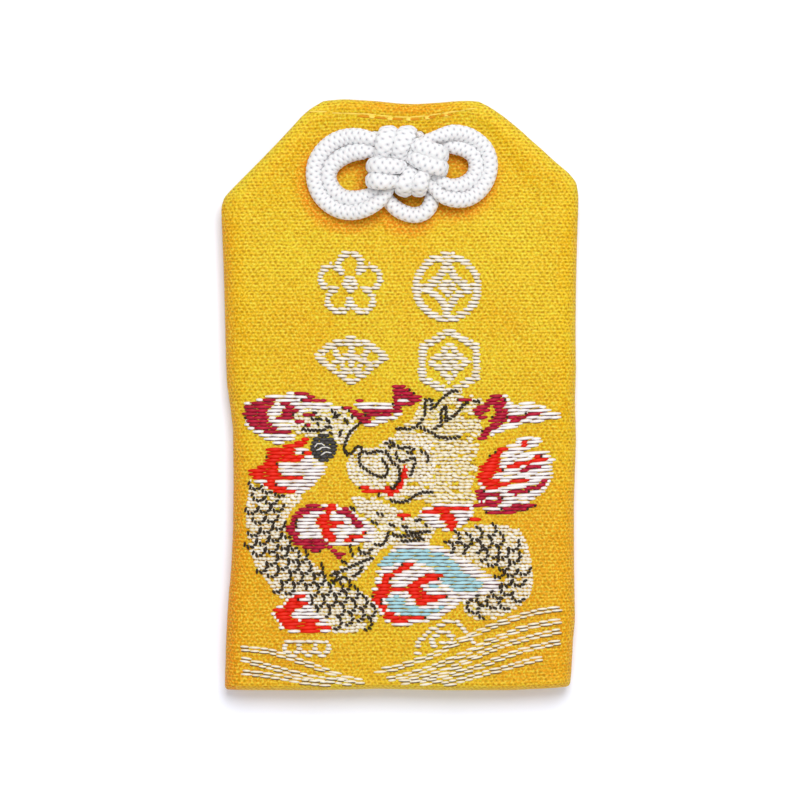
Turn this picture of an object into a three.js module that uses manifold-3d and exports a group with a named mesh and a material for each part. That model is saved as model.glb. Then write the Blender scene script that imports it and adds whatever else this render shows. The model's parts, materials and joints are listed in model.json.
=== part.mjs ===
// A brocade charm pouch with a knotted cord, lying on its back as it is photographed.
// Millimetres. +X is to the right, +Y towards the mouth, +Z out of the front. The table is at zero height.
import * as THREE from "three";
import { mergeVertices } from "three/addons/utils/BufferGeometryUtils.js";
import Module from "manifold-3d";

const wasm = await Module();
wasm.setup();

// Cloth and clearances
const CLOTH = {
  thickness: 0.6, // brocade with its bonded backing
  hemFold: 0.5, // the turned-in second layer along the mouth and the clipped corners
  hemDepth: 6,
  seamGap: 0.3, // between the front and back panels, all round
};
const LAYER_GAP = 0.3; // between any two layers inside the pouch
const HOLE_GAP = 0.3; // between the cord and the cloth it passes through

// What the pouch holds, from the back to the front
const INTERFACING = { thickness: 0.25, sideGap: 0.3 };
const CARD = { thickness: 0.5, sideGap: 0.8, topGap: 1, corner: 2 };
const TABLET = { width: 30, length: 44, thickness: 1.2, corner: 1.5, footGap: 0.9 };
const WRAPPER = { thickness: 0.2, slit: 1.2, overhang: 0.8 };

// Cord: realDiameter is the loose braid, and drawnShare thins it so that the knot clears itself
const CORD = { realDiameter: 2.1, drawnShare: 0.66, sides: 8, stepsPerPoint: 2, endRings: 3 };
const cordRadius = (CORD.realDiameter * CORD.drawnShare) / 2;
const BIGHT = { tableGap: 0.75, bend: 1, holeLip: 0.2 };

// Pouch outline
const POUCH = {
  height: 79.6,
  width: 48.2, // at the shoulders
  waistDraw: 1.4, // how much narrower the pouch is at the waist
  footDraw: 1, // and at the foot
  mouthWidth: 23.8,
  clipHeight: 13.9, // how far below the mouth the corners are clipped
  edgeRoll: 2.6,
  shoulderRound: 1.6,
  footRound: 1.4,
  mouthDip: 0.5,
  mouthSlack: 0.7, // play between the two hems
  crown: 0.4,
  taperLength: 20, // over which the belly thins to the mouth
  taperEnd: 6, // below the top edge
};
const layers = [CLOTH, INTERFACING, CARD, WRAPPER, TABLET, WRAPPER, INTERFACING, CLOTH];
const bellyThickness =
  layers.reduce((sum, layer) => sum + layer.thickness, 0) + (layers.length - 1) * LAYER_GAP;
const mouthThickness = 2 * (CLOTH.thickness + CLOTH.hemFold) + POUCH.mouthSlack;
const bightHeight = BIGHT.tableGap + cordRadius;
const mouthLift = bightHeight + BIGHT.bend + BIGHT.holeLip; // the back's height at the mouth
const topY = POUCH.height / 2;
const footY = -topY;
const shoulderY = topY - POUCH.clipHeight;
const waistWidth = POUCH.width - POUCH.waistDraw;
const footWidth = POUCH.width - POUCH.footDraw;
const taperTopY = topY - POUCH.taperEnd;
const bellyTopY = taperTopY - POUCH.taperLength;

// Where the knot's middle lies on the pouch: it hinges on the two cord holes above
const KNOT = { x: 0.95, belowMouth: 8.1 };
const knotY = topY - KNOT.belowMouth;

// The cord's route from the right hole to the left one, in millimetres from the knot's middle:
// right, up, out of the pouch, and fullness, which is how little the braid is squeezed there
const CORD_ROUTE = {
  legFromRightHole: [
    [1.6, 3.2, 1.3, 0.8], [2.1, 2.2, 1.05, 0.7], [3.0, 1.1, 0.9, 0.7], [4.05, 0.6, 1.05, 0.7],
  ],
  rightWrapHigh: [[4.75, 0.55, 1.9, 0.75], [4.8, 0.6, 3.3, 0.85], [4.2, 0.75, 4.5, 0.9]],
  rightBandHigh: [[2.9, 1.15, 4.85, 0.9], [1.6, 1.6, 4.6, 0.85], [0.6, 2.0, 3.65, 0.65]],
  underTopBands: [[-0.4, 2.25, 2.7, 0.55], [-1.8, 2.35, 2.5, 0.55], [-3.2, 2.35, 2.6, 0.6]],
  leftEarOuter: [
    [-4.6, 2.75, 2.85, 0.85], [-6.4, 3.15, 2.3, 1], [-8.2, 3.15, 1.7, 1], [-9.9, 2.55, 1.4, 1],
    [-11.4, 1.3, 1.25, 1], [-12.4, -0.4, 1.2, 1], [-12.6, -2.2, 1.2, 1], [-12.05, -4.2, 1.2, 1],
    [-10.8, -5.8, 1.25, 1], [-9.0, -6.8, 1.4, 1], [-7.1, -7.0, 1.8, 1], [-5.2, -6.5, 2.5, 0.95],
    [-3.6, -5.5, 2.75, 0.85],
  ],
  underLeftBandsInner: [[-2.6, -4.1, 2.6, 0.6], [-2.15, -2.8, 2.3, 0.5], [-1.75, -1.6, 2.3, 0.5]],
  topBandInner: [
    [-1.5, -0.5, 2.75, 0.5], [-1.25, 0.5, 3.9, 0.7], [-1.0, 1.3, 4.6, 0.85],
    [-0.75, 2.1, 4.75, 0.9],
  ],
  topWrapInner: [[-0.25, 3.1, 4.4, 0.85], [0.05, 3.9, 3.1, 0.75], [0.1, 3.6, 1.7, 0.65]],
  topTurn: [
    [-0.05, 2.6, 1.1, 0.6], [-0.6, 1.6, 1.05, 0.6], [-1.4, 1.2, 1.05, 0.6], [-2.2, 1.6, 1.05, 0.6],
    [-2.5, 2.6, 1.1, 0.6],
  ],
  topWrapOuter: [[-2.5, 3.6, 1.7, 0.65], [-2.5, 3.9, 3.1, 0.75], [-2.7, 3.1, 4.4, 0.85]],
  topBandOuter: [[-3.0, 2.0, 4.75, 0.9], [-3.2, 1.1, 4.4, 0.8], [-3.4, 0, 3.3, 0.6]],
  underLeftBandsOuter: [[-3.4, -1.2, 2.5, 0.5], [-3.3, -2.6, 2.5, 0.5]],
  leftEarInner: [
    [-3.95, -3.95, 2.3, 0.55], [-5.7, -4.85, 1.85, 0.9], [-7.1, -5.15, 1.7, 1],
    [-8.7, -4.9, 1.4, 1], [-10.0, -3.8, 1.25, 1], [-10.6, -2.3, 1.2, 1], [-10.3, -0.95, 1.2, 1],
    [-9.2, 0.2, 1.3, 1], [-7.6, 0.95, 1.7, 1], [-6.0, 1.2, 2.2, 1], [-4.6, 1.1, 2.5, 0.65],
  ],
  underTopBandsLow: [[-3.2, 0.8, 2.3, 0.5], [-1.8, 0.75, 2.2, 0.5], [-0.5, 0.65, 2.5, 0.5]],
  rightBandLow: [[0.4, 0.4, 3.5, 0.65], [1.3, -0.1, 4.6, 0.85], [2.6, -0.7, 4.85, 0.9]],
  rightWrapLow: [[4.1, -1.05, 4.5, 0.9], [4.75, -1.1, 3.3, 0.85], [4.75, -1.25, 1.9, 0.75]],
  behindToLoop: [[4.4, -2.1, 1.1, 0.7], [3.9, -3.3, 1.05, 0.7], [3.45, -4.8, 1.05, 0.9]],
  lowerLoop: [
    [3.1, -6.1, 1.1, 1], [2.4, -6.95, 1.1, 1], [1.2, -7.35, 1.1, 1], [-0.1, -7.15, 1.1, 1],
    [-1.4, -6.5, 1.1, 1], [-2.4, -5.5, 1.05, 0.9],
  ],
  behindToLeftWrap: [[-3.2, -4.2, 1, 0.65], [-4.0, -3.3, 1, 0.65]],
  leftWrapLow: [[-4.7, -2.9, 1.9, 0.7], [-4.8, -2.85, 3.3, 0.85], [-4.2, -2.95, 4.5, 0.9]],
  leftBandLow: [[-3.1, -3.1, 4.8, 0.9], [-2.3, -3.05, 4.5, 0.8], [-1.6, -2.9, 3.7, 0.65]],
  underBottomBands: [[-0.8, -2.65, 2.7, 0.5], [0.6, -2.5, 2.4, 0.5], [2.2, -2.7, 2.4, 0.5]],
  rightEarOuter: [
    [3.5, -3.75, 2.6, 0.65], [4.6, -4.85, 2.7, 0.85], [6.4, -5.35, 2.2, 1], [8.1, -5.2, 1.6, 1],
    [9.6, -4.3, 1.3, 1], [10.8, -2.6, 1.2, 1], [11.22, -0.5, 1.2, 1], [10.7, 1.4, 1.3, 1],
    [9.4, 2.75, 1.6, 1], [7.8, 3.5, 2.1, 1], [6.1, 3.65, 2.6, 1], [4.5, 3.2, 3.0, 0.9],
    [2.9, 2.65, 3.15, 0.7],
  ],
  underRightBandsInner: [[1.9, 2.1, 2.8, 0.55], [1.4, 1.3, 2.5, 0.5], [1.25, 0.4, 2.3, 0.5]],
  bottomBandInner: [[1.1, -0.5, 2.5, 0.5], [0.8, -1.5, 3.4, 0.6], [0.15, -2.5, 4.4, 0.8]],
  bottomWrapInner: [[-0.35, -3.55, 4.4, 0.85], [-0.5, -4.3, 3.1, 0.75], [-0.4, -4.0, 1.7, 0.65]],
  bottomTurn: [
    [-0.2, -3.1, 1.05, 0.6], [0.2, -2.5, 1, 0.6], [0.7, -2.3, 1, 0.6], [1.2, -2.5, 1, 0.6],
    [1.5, -3.1, 1.05, 0.6],
  ],
  bottomWrapOuter: [[1.5, -4.0, 1.7, 0.65], [1.45, -4.3, 3.1, 0.75], [1.65, -3.55, 4.4, 0.85]],
  bottomBandOuter: [[2.0, -2.6, 4.5, 0.85], [2.5, -1.7, 3.6, 0.65], [2.8, -0.7, 2.7, 0.5]],
  underRightBandsOuter: [[2.9, 0.4, 2.4, 0.5], [3.1, 1.4, 2.3, 0.5]],
  rightEarInner: [
    [3.9, 2.1, 1.75, 0.65], [5.0, 2.2, 1.6, 0.85], [6.3, 1.9, 1.5, 1], [7.8, 1.5, 1.4, 1],
    [9.0, 0.6, 1.3, 1], [9.38, -0.7, 1.25, 1], [9.0, -2.1, 1.3, 1], [7.85, -3.1, 1.6, 1],
    [6.3, -3.45, 2.1, 0.9], [4.9, -3.05, 2.45, 0.7],
  ],
  underBottomBandsHigh: [
    [3.7, -2.15, 2.3, 0.5], [2.7, -1.5, 1.7, 0.5], [1.7, -1.1, 1.4, 0.5], [0.7, -1.05, 1.5, 0.5],
  ],
  leftBandHigh: [
    [-0.15, -1.05, 2.3, 0.5], [-0.75, -1.1, 3.7, 0.6], [-1.35, -1.1, 4.6, 0.8],
    [-2.2, -1.05, 4.85, 0.9], [-3.2, -1.0, 4.85, 0.9],
  ],
  leftWrapHigh: [[-4.1, -0.95, 4.5, 0.9], [-4.7, -0.9, 3.3, 0.85], [-4.65, -0.8, 1.9, 0.75]],
  legToLeftHole: [[-4.2, 0.2, 1.1, 0.7], [-4.3, 1.8, 1.05, 0.7], [-4.3, 3.2, 1.3, 0.8]],
};
const cordPoints = Object.values(CORD_ROUTE).flat();
const rightHole = cordPoints[0];
const leftHole = cordPoints[cordPoints.length - 1];
const knotLowY = Math.min(...cordPoints.map(([, y]) => y)) - CORD.realDiameter / 2;

// Finishes
const yellowBrocade = new THREE.MeshStandardMaterial({ color: 0xeeb924, roughness: 0.75 });
const whiteBraid = new THREE.MeshStandardMaterial({ color: 0xf6f3ef, roughness: 0.7 });
const whitePaper = new THREE.MeshStandardMaterial({ color: 0xf1ece0, roughness: 0.9 });
const greyCard = new THREE.MeshStandardMaterial({ color: 0xcfc8b8, roughness: 0.9 });
const paleWood = new THREE.MeshStandardMaterial({ color: 0xd9bb87, roughness: 0.7 });

// Heights of the pouch's faces
const mix = THREE.MathUtils.lerp;
const taperAt = (y) => THREE.MathUtils.smoothstep(y, bellyTopY, taperTopY);
const backHeight = (y) => mix(0, mouthLift, taperAt(y));
const halfThickness = (y) => mix(bellyThickness, mouthThickness, taperAt(y)) / 2;
const midHeight = (y) => backHeight(y) + halfThickness(y);
const frontHeight = (y) => midHeight(y) + halfThickness(y);

// The edge's direction is read over twice the probe, and past the clip slant it is a clipped corner
const EDGE = { probe: 1.4, clipSlant: 1.2 };

// Half the pouch's width: drawn in at the waist, then along the clipped corners
function smallerSmooth(a, b, round) {
  const overlap = Math.max(round - Math.abs(a - b), 0) / round;
  return Math.min(a, b) - (overlap * overlap * round) / 4;
}

function halfWidth(y) {
  const share = (y - footY) / (shoulderY - footY);
  const bow = waistWidth - (footWidth + POUCH.width) / 2;
  const side = (mix(footWidth, POUCH.width, share) + bow * 4 * share * (1 - share)) / 2;
  const clipShare = (y - shoulderY) / POUCH.clipHeight;
  const clip = mix(POUCH.width, POUCH.mouthWidth, clipShare) / 2;
  const cornerShare = Math.min((y - footY) / POUCH.footRound, 1);
  const footInset = POUCH.footRound * (1 - Math.sqrt(1 - (1 - cornerShare) ** 2));
  return smallerSmooth(side, clip, POUCH.shoulderRound) - footInset;
}

// How much a thickness measured square to the edge grows when it is measured along X
function edgeSlant(y) {
  if (y < footY + POUCH.edgeRoll) return 1;
  const lean = (halfWidth(y + EDGE.probe) - halfWidth(y - EDGE.probe)) / (2 * EDGE.probe);
  return Math.hypot(1, lean);
}

const mouthDip = (x, y) => {
  const across = Math.max(1 - (x / (POUCH.mouthWidth / 2)) ** 2, 0);
  return POUCH.mouthDip * across * Math.max((y - shoulderY) / POUCH.clipHeight, 0) ** 2;
};

function crownHeight(x, y) {
  const across = Math.max(1 - (x / halfWidth(y)) ** 2, 0);
  const middle = (footY + bellyTopY) / 2;
  const along = Math.max(1 - ((y - middle) / (topY - middle)) ** 2, 0);
  return POUCH.crown * across * along;
}

// Stations across one direction: a rounded edge, an even stretch or two, and a rounded edge
const GRID = { rollSteps: 4, footSteps: 9, clipSteps: 7, acrossSteps: 8, paperSteps: 14 };

function stations(low, high, roll, stops, counts) {
  const rows = [];
  for (let k = 0; k < GRID.rollSteps; k++) {
    const turn = ((k / GRID.rollSteps) * Math.PI) / 2;
    rows.push({ at: low + roll * (1 - Math.cos(turn)), lift: Math.sin(turn) });
  }
  const marks = [low + roll, ...stops, high - roll];
  counts.forEach((count, part) => {
    const [from, to] = [marks[part], marks[part + 1]];
    for (let k = 0; k < count; k++) rows.push({ at: mix(from, to, k / count), lift: 1 });
  });
  for (let k = GRID.rollSteps; k >= 0; k--) {
    const turn = ((k / GRID.rollSteps) * Math.PI) / 2;
    rows.push({ at: high - roll * (1 - Math.cos(turn)), lift: Math.sin(turn) });
  }
  return rows;
}

// One face of a panel: side is 1 for the front and -1 for the back, depth is measured in from the outside
function panelFace(side, depth) {
  const roll = POUCH.edgeRoll - depth;
  const counts = [GRID.footSteps, GRID.clipSteps];
  return stations(footY + depth, topY - depth, roll, [shoulderY], counts).map((row) => {
    const slant = edgeSlant(row.at);
    const reach = halfWidth(row.at) - depth * slant;
    return stations(-reach, reach, roll * slant, [], [GRID.acrossSteps]).map((column) => {
      const [x, y] = [column.at, row.at];
      const lift = row.lift * column.lift;
      const turnedIn = y > topY - CLOTH.hemDepth || slant > EDGE.clipSlant;
      const fold = depth > 0 && turnedIn ? CLOTH.hemFold : 0;
      const fullHeight = halfThickness(y) - depth - fold - CLOTH.seamGap / 2;
      const crown = side > 0 ? crownHeight(x, y) : 0;
      const z = midHeight(y) + side * (CLOTH.seamGap / 2 + (fullHeight + crown) * lift);
      return [x, y - mouthDip(x, y), z];
    });
  });
}

// A closed body between two grids of points of the same size; up is true where the first lies above
function closeGrids(first, second, up) {
  const [rows, columns] = [first.length, first[0].length];
  const positions = [first, second].flat(2).flat();
  const index = [];
  const vertex = (grid, row, column) => grid * rows * columns + row * columns + column;
  const quad = (a, b, c, d, flip) => index.push(...(flip ? [a, c, b, a, d, c] : [a, b, c, a, c, d]));
  for (let grid = 0; grid < 2; grid++) {
    for (let r = 0; r + 1 < rows; r++) {
      for (let c = 0; c + 1 < columns; c++) {
        const corners = [[r, c], [r, c + 1], [r + 1, c + 1], [r + 1, c]];
        quad(...corners.map(([row, column]) => vertex(grid, row, column)), (grid === 1) === up);
      }
    }
  }
  const rim = [];
  for (let c = 0; c + 1 < columns; c++) rim.push([0, c]);
  for (let r = 0; r + 1 < rows; r++) rim.push([r, columns - 1]);
  for (let c = columns - 1; c > 0; c--) rim.push([rows - 1, c]);
  for (let r = rows - 1; r > 0; r--) rim.push([r, 0]);
  rim.forEach(([r, c], k) => {
    const [nextR, nextC] = rim[(k + 1) % rim.length];
    quad(vertex(1, r, c), vertex(1, nextR, nextC), vertex(0, nextR, nextC), vertex(0, r, c), !up);
  });
  const geometry = new THREE.BufferGeometry();
  geometry.setAttribute("position", new THREE.Float32BufferAttribute(positions, 3));
  geometry.setIndex(index);
  return geometry;
}

// Booleans
function toSolid(geometry) {
  const bare = geometry.clone();
  bare.deleteAttribute("normal");
  bare.deleteAttribute("uv");
  const merged = mergeVertices(bare);
  const mesh = new wasm.Mesh({
    numProp: 3,
    vertProperties: Float32Array.from(merged.attributes.position.array),
    triVerts: Uint32Array.from(merged.index.array),
  });
  return new wasm.Manifold(mesh);
}

function toGeometry(solid) {
  const mesh = solid.getMesh();
  const geometry = new THREE.BufferGeometry();
  geometry.setAttribute("position", new THREE.BufferAttribute(mesh.vertProperties, 3));
  geometry.setIndex(new THREE.BufferAttribute(mesh.triVerts, 1));
  return geometry;
}

// A hole for the cord at each of its two ends, through everything that the pouch is made of
function punchCordHoles(geometry) {
  const radius = cordRadius + HOLE_GAP;
  const holes = [rightHole, leftHole].map(([x, y]) => {
    const drill = new THREE.CylinderGeometry(radius, radius, 2 * bellyThickness, 2 * CORD.sides);
    drill.rotateX(Math.PI / 2);
    drill.translate(KNOT.x + x, knotY + y, bellyThickness);
    return toSolid(drill);
  });
  return toGeometry(holes.reduce((solid, hole) => solid.subtract(hole), toSolid(geometry)));
}

function panelMesh(name, side) {
  const panel = closeGrids(panelFace(side, 0), panelFace(side, CLOTH.thickness), side > 0);
  return named(name, punchCordHoles(panel), yellowBrocade);
}

function named(name, geometry, material) {
  geometry.computeVertexNormals();
  const mesh = new THREE.Mesh(geometry, material);
  mesh.name = name;
  return mesh;
}

// Interfacing: a paper sheet bonded behind each panel, up to the clipped corners
function interfacingMesh(name, side) {
  const low = footY + POUCH.edgeRoll + INTERFACING.sideGap;
  const high = shoulderY - INTERFACING.sideGap;
  const rows = Array.from({ length: GRID.paperSteps + 1 }, (_, k) => mix(low, high, k / GRID.paperSteps));
  const face = (depth) =>
    rows.map((y) => {
      const reach = halfWidth(y) - (POUCH.edgeRoll + INTERFACING.sideGap) * edgeSlant(y);
      const z = midHeight(y) + side * (halfThickness(y) - depth);
      return [[-reach, y, z], [reach, y, z]];
    });
  const depth = CLOTH.thickness + LAYER_GAP;
  return named(name, closeGrids(face(depth), face(depth + INTERFACING.thickness), side > 0), whitePaper);
}

// Flat pieces inside the belly
const bellyHalfWidth = waistWidth / 2 - POUCH.edgeRoll;
const cardFloor = CLOTH.thickness + INTERFACING.thickness + 2 * LAYER_GAP;
const wrapperFloor = cardFloor + CARD.thickness + LAYER_GAP;
const tabletFloor = wrapperFloor + WRAPPER.thickness + LAYER_GAP;

function roundedPlate(width, length, thickness, corner) {
  const [x, y] = [width / 2, length / 2];
  const shape = new THREE.Shape();
  shape.moveTo(-x + corner, -y);
  shape.lineTo(x - corner, -y);
  shape.absarc(x - corner, -y + corner, corner, -Math.PI / 2, 0);
  shape.absarc(x - corner, y - corner, corner, 0, Math.PI / 2);
  shape.absarc(-x + corner, y - corner, corner, Math.PI / 2, Math.PI);
  shape.absarc(-x + corner, -y + corner, corner, Math.PI, (3 * Math.PI) / 2);
  return new THREE.ExtrudeGeometry(shape, { depth: thickness, bevelEnabled: false, curveSegments: 4 });
}

function cardMesh() {
  const foot = footY + POUCH.edgeRoll + CARD.sideGap;
  const length = bellyTopY - CARD.topGap - foot;
  const plate = roundedPlate(2 * (bellyHalfWidth - CARD.sideGap), length, CARD.thickness, CARD.corner);
  const mesh = named("stiffener_card", plate, greyCard);
  mesh.position.set(0, foot + length / 2, cardFloor);
  return mesh;
}

const tabletMiddleY = footY + POUCH.edgeRoll + TABLET.footGap + WRAPPER.overhang + TABLET.length / 2;

function tabletMesh() {
  const mesh = named(
    "talisman_tablet",
    roundedPlate(TABLET.width, TABLET.length, TABLET.thickness, TABLET.corner),
    paleWood,
  );
  mesh.position.set(0, tabletMiddleY, tabletFloor);
  return mesh;
}

// Wrapper: a paper strip folded round the tablet, its two edges meeting at the back, open at both ends
function wrapperMesh() {
  const inner = { x: TABLET.width / 2 + LAYER_GAP, z: TABLET.thickness / 2 + LAYER_GAP };
  const outer = { x: inner.x + WRAPPER.thickness, z: inner.z + WRAPPER.thickness };
  const edge = WRAPPER.slit / 2;
  const section = new THREE.Shape(
    [
      [-edge, -outer.z], [-edge, -inner.z], [-inner.x, -inner.z], [-inner.x, inner.z],
      [inner.x, inner.z], [inner.x, -inner.z], [edge, -inner.z], [edge, -outer.z],
      [outer.x, -outer.z], [outer.x, outer.z], [-outer.x, outer.z], [-outer.x, -outer.z],
    ].map(([x, z]) => new THREE.Vector2(x, z)),
  );
  const length = TABLET.length + 2 * WRAPPER.overhang;
  const sleeve = new THREE.ExtrudeGeometry(section, { depth: length, bevelEnabled: false });
  sleeve.translate(0, 0, -length / 2);
  sleeve.rotateX(Math.PI / 2);
  const mesh = named("talisman_wrapper", sleeve, whitePaper);
  mesh.position.set(0, tabletMiddleY, tabletFloor + TABLET.thickness / 2);
  return mesh;
}

// Cords: round tubes along a smooth curve, with domed ends
function cordSections(points, stepsPerPoint) {
  const curve = new THREE.CatmullRomCurve3(
    points.map(([x, y, z]) => new THREE.Vector3(x, y, z)),
    false,
    "centripetal",
  );
  const count = (points.length - 1) * stepsPerPoint;
  return Array.from({ length: count + 1 }, (_, k) => {
    const from = Math.min(Math.floor(k / stepsPerPoint), points.length - 2);
    const fullness = mix(points[from][3], points[from + 1][3], k / stepsPerPoint - from);
    return {
      centre: curve.getPoint(k / count),
      along: curve.getTangent(k / count),
      radius: cordRadius * fullness,
    };
  });
}

function outward(section, radii) {
  return section.centre.clone().addScaledVector(section.along, radii * section.radius);
}

function domedEnds(sections) {
  const dome = (section, sign) =>
    Array.from({ length: CORD.endRings }, (_, k) => {
      const turn = (((k + 1) / (CORD.endRings + 1)) * Math.PI) / 2;
      return {
        centre: outward(section, sign * Math.sin(turn)),
        along: section.along,
        radius: section.radius * Math.cos(turn),
        tip: outward(section, sign),
      };
    });
  const [first, last] = [sections[0], sections[sections.length - 1]];
  return [...dome(first, -1).reverse(), ...sections, ...dome(last, 1)];
}

function tubeGeometry(sections) {
  const rings = domedEnds(sections);
  const positions = [];
  const upright = Math.abs(rings[0].along.z) > Math.SQRT1_2;
  let across = upright ? new THREE.Vector3(0, 1, 0) : new THREE.Vector3(0, 0, 1);
  for (const { centre, along, radius } of rings) {
    across = across.clone().addScaledVector(along, -across.dot(along)).normalize();
    const up = new THREE.Vector3().crossVectors(along, across);
    for (let k = 0; k < CORD.sides; k++) {
      const turn = (k / CORD.sides) * 2 * Math.PI;
      const point = centre
        .clone()
        .addScaledVector(across, radius * Math.cos(turn))
        .addScaledVector(up, radius * Math.sin(turn));
      positions.push(point.x, point.y, point.z);
    }
  }
  const [start, end] = [rings[0].tip, rings[rings.length - 1].tip];
  positions.push(start.x, start.y, start.z, end.x, end.y, end.z);
  const index = [];
  const startTip = rings.length * CORD.sides;
  const lastRing = (rings.length - 1) * CORD.sides;
  for (let k = 0; k < CORD.sides; k++) {
    const next = (k + 1) % CORD.sides;
    index.push(startTip, next, k, startTip + 1, lastRing + k, lastRing + next);
    for (let ring = 0; ring + 1 < rings.length; ring++) {
      const [a, b] = [ring * CORD.sides + k, ring * CORD.sides + next];
      index.push(a, b, b + CORD.sides, a, b + CORD.sides, a + CORD.sides);
    }
  }
  const geometry = new THREE.BufferGeometry();
  geometry.setAttribute("position", new THREE.Float32BufferAttribute(positions, 3));
  geometry.setIndex(index);
  return geometry;
}

// The least gap between stretches of a cord that are not neighbours along it
function leastGap(points) {
  const finer = 4;
  const sections = cordSections(points, CORD.stepsPerPoint * finer);
  let travelled = 0;
  const places = sections.map((section, k) => {
    if (k > 0) travelled += section.centre.distanceTo(sections[k - 1].centre);
    return travelled;
  });
  let least = Infinity;
  const neighbourly = 2 * CORD.realDiameter * CORD.drawnShare;
  sections.forEach((a, i) => {
    for (let j = i + 1; j < sections.length; j++) {
      if (places[j] - places[i] < neighbourly) continue;
      const b = sections[j];
      least = Math.min(least, a.centre.distanceTo(b.centre) - a.radius - b.radius);
    }
  });
  return { least, length: travelled };
}

const knotBase = frontHeight(knotY + knotLowY);
const hinge = new THREE.Vector3(
  KNOT.x + (rightHole[0] + leftHole[0]) / 2,
  knotY + rightHole[1],
  knotBase + rightHole[2],
);

function knotMesh() {
  const tube = tubeGeometry(cordSections(cordPoints, CORD.stepsPerPoint));
  const mesh = named("knotted_cord", tube, whiteBraid);
  mesh.position.set(KNOT.x, knotY, knotBase);
  return mesh;
}

// Bight: the cord's pass through both holes and across the back, from one hinge end to the other
function bightMesh() {
  const legRadius = cordRadius * rightHole[3];
  const top = hinge.z - legRadius - LAYER_GAP - cordRadius;
  const halfTurn = BIGHT.bend * (1 - Math.SQRT1_2);
  const side = (x, inward) => [
    [x, hinge.y, top, 1],
    [x, hinge.y, (top + mouthLift) / 2, 1],
    [x, hinge.y, bightHeight + BIGHT.bend, 1],
    [x + inward * halfTurn, hinge.y, bightHeight + halfTurn, 1],
    [x + inward * BIGHT.bend, hinge.y, bightHeight, 1],
  ];
  const [left, right] = [side(KNOT.x + leftHole[0], 1), side(KNOT.x + rightHole[0], -1).reverse()];
  const middle = [hinge.x, hinge.y, bightHeight, 1];
  const tube = tubeGeometry(cordSections([...left, middle, ...right], CORD.stepsPerPoint));
  return named("back_cord_bight", tube, whiteBraid);
}

const charm = new THREE.Group();
charm.name = "omamori_charm";
charm.add(
  panelMesh("front_brocade", 1),
  panelMesh("back_brocade", -1),
  interfacingMesh("front_interfacing", 1),
  interfacingMesh("back_interfacing", -1),
  cardMesh(),
  tabletMesh(),
  wrapperMesh(),
  knotMesh(),
  bightMesh(),
);

const { least, length } = leastGap(cordPoints);
console.log(`knotted cord: ${length.toFixed(1)} mm long, least gap to itself ${least.toFixed(2)} mm`);
console.log(`knot hinge at ${hinge.toArray().map((value) => value.toFixed(3)).join(", ")}`);

export default charm;
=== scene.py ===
# A brocade charm pouch with a knotted cord: its cloth, braid, stitches and woven figure.
# Metres. +X is to the right, +Y towards the mouth, +Z out of the front. The table is at zero height.

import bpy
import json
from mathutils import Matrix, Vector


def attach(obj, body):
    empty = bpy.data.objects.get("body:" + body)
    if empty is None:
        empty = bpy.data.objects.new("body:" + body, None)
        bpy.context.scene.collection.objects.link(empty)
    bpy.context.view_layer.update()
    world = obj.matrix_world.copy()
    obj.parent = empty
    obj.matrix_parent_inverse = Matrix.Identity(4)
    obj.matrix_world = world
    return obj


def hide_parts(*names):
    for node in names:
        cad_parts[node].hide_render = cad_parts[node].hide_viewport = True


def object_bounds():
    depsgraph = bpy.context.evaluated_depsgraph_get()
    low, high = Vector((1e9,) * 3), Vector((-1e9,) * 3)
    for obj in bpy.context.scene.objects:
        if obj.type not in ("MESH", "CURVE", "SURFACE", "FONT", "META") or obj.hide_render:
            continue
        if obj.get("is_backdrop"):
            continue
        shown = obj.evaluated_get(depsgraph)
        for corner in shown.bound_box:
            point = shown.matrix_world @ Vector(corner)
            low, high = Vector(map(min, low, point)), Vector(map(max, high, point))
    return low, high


bl_info = {
    "name": "Brocade charm pouch",
    "version": (1, 0, 0),
    "blender": (4, 5, 0),
    "location": "View3D > Sidebar > Charm",
    "description": "Dresses a charm pouch in brocade, with its knotted cord and woven figure",
    "category": "Object",
}

import json
import math

import bpy
import numpy as np
from mathutils import Vector

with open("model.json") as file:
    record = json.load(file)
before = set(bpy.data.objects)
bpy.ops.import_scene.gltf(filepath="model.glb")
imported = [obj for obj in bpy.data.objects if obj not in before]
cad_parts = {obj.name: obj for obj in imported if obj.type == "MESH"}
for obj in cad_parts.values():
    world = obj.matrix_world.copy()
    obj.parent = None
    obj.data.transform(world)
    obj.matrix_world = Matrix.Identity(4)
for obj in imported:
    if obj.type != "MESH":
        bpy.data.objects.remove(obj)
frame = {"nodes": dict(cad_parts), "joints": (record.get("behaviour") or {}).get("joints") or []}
cad_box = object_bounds()

MM = 0.001

# The photograph's pixels, where the outline and the woven figure are given, and their place on the pouch
PHOTO = {"middle": (400, 395), "pixel": 0.1356 * MM, "view_middle": (400, 400), "width": 800}
CAMERA_HEIGHT = 0.4
SURFACE = 5.9 * MM
SEAM_HEIGHT = 3 * MM


def from_photo(points, height=SURFACE):
    """Places on the pouch at some height, from where the camera sees them in the photograph."""
    places = np.array(points, float)
    seen = PHOTO["pixel"] * (CAMERA_HEIGHT - height) / (CAMERA_HEIGHT - SURFACE)
    middle = (PHOTO["middle"][1] - PHOTO["view_middle"][1]) * PHOTO["pixel"]
    across = (places[:, 0] - PHOTO["view_middle"][0]) * seen
    up = (PHOTO["view_middle"][1] - places[:, 1]) * seen + middle
    return np.stack([across, up], axis=1)


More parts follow.
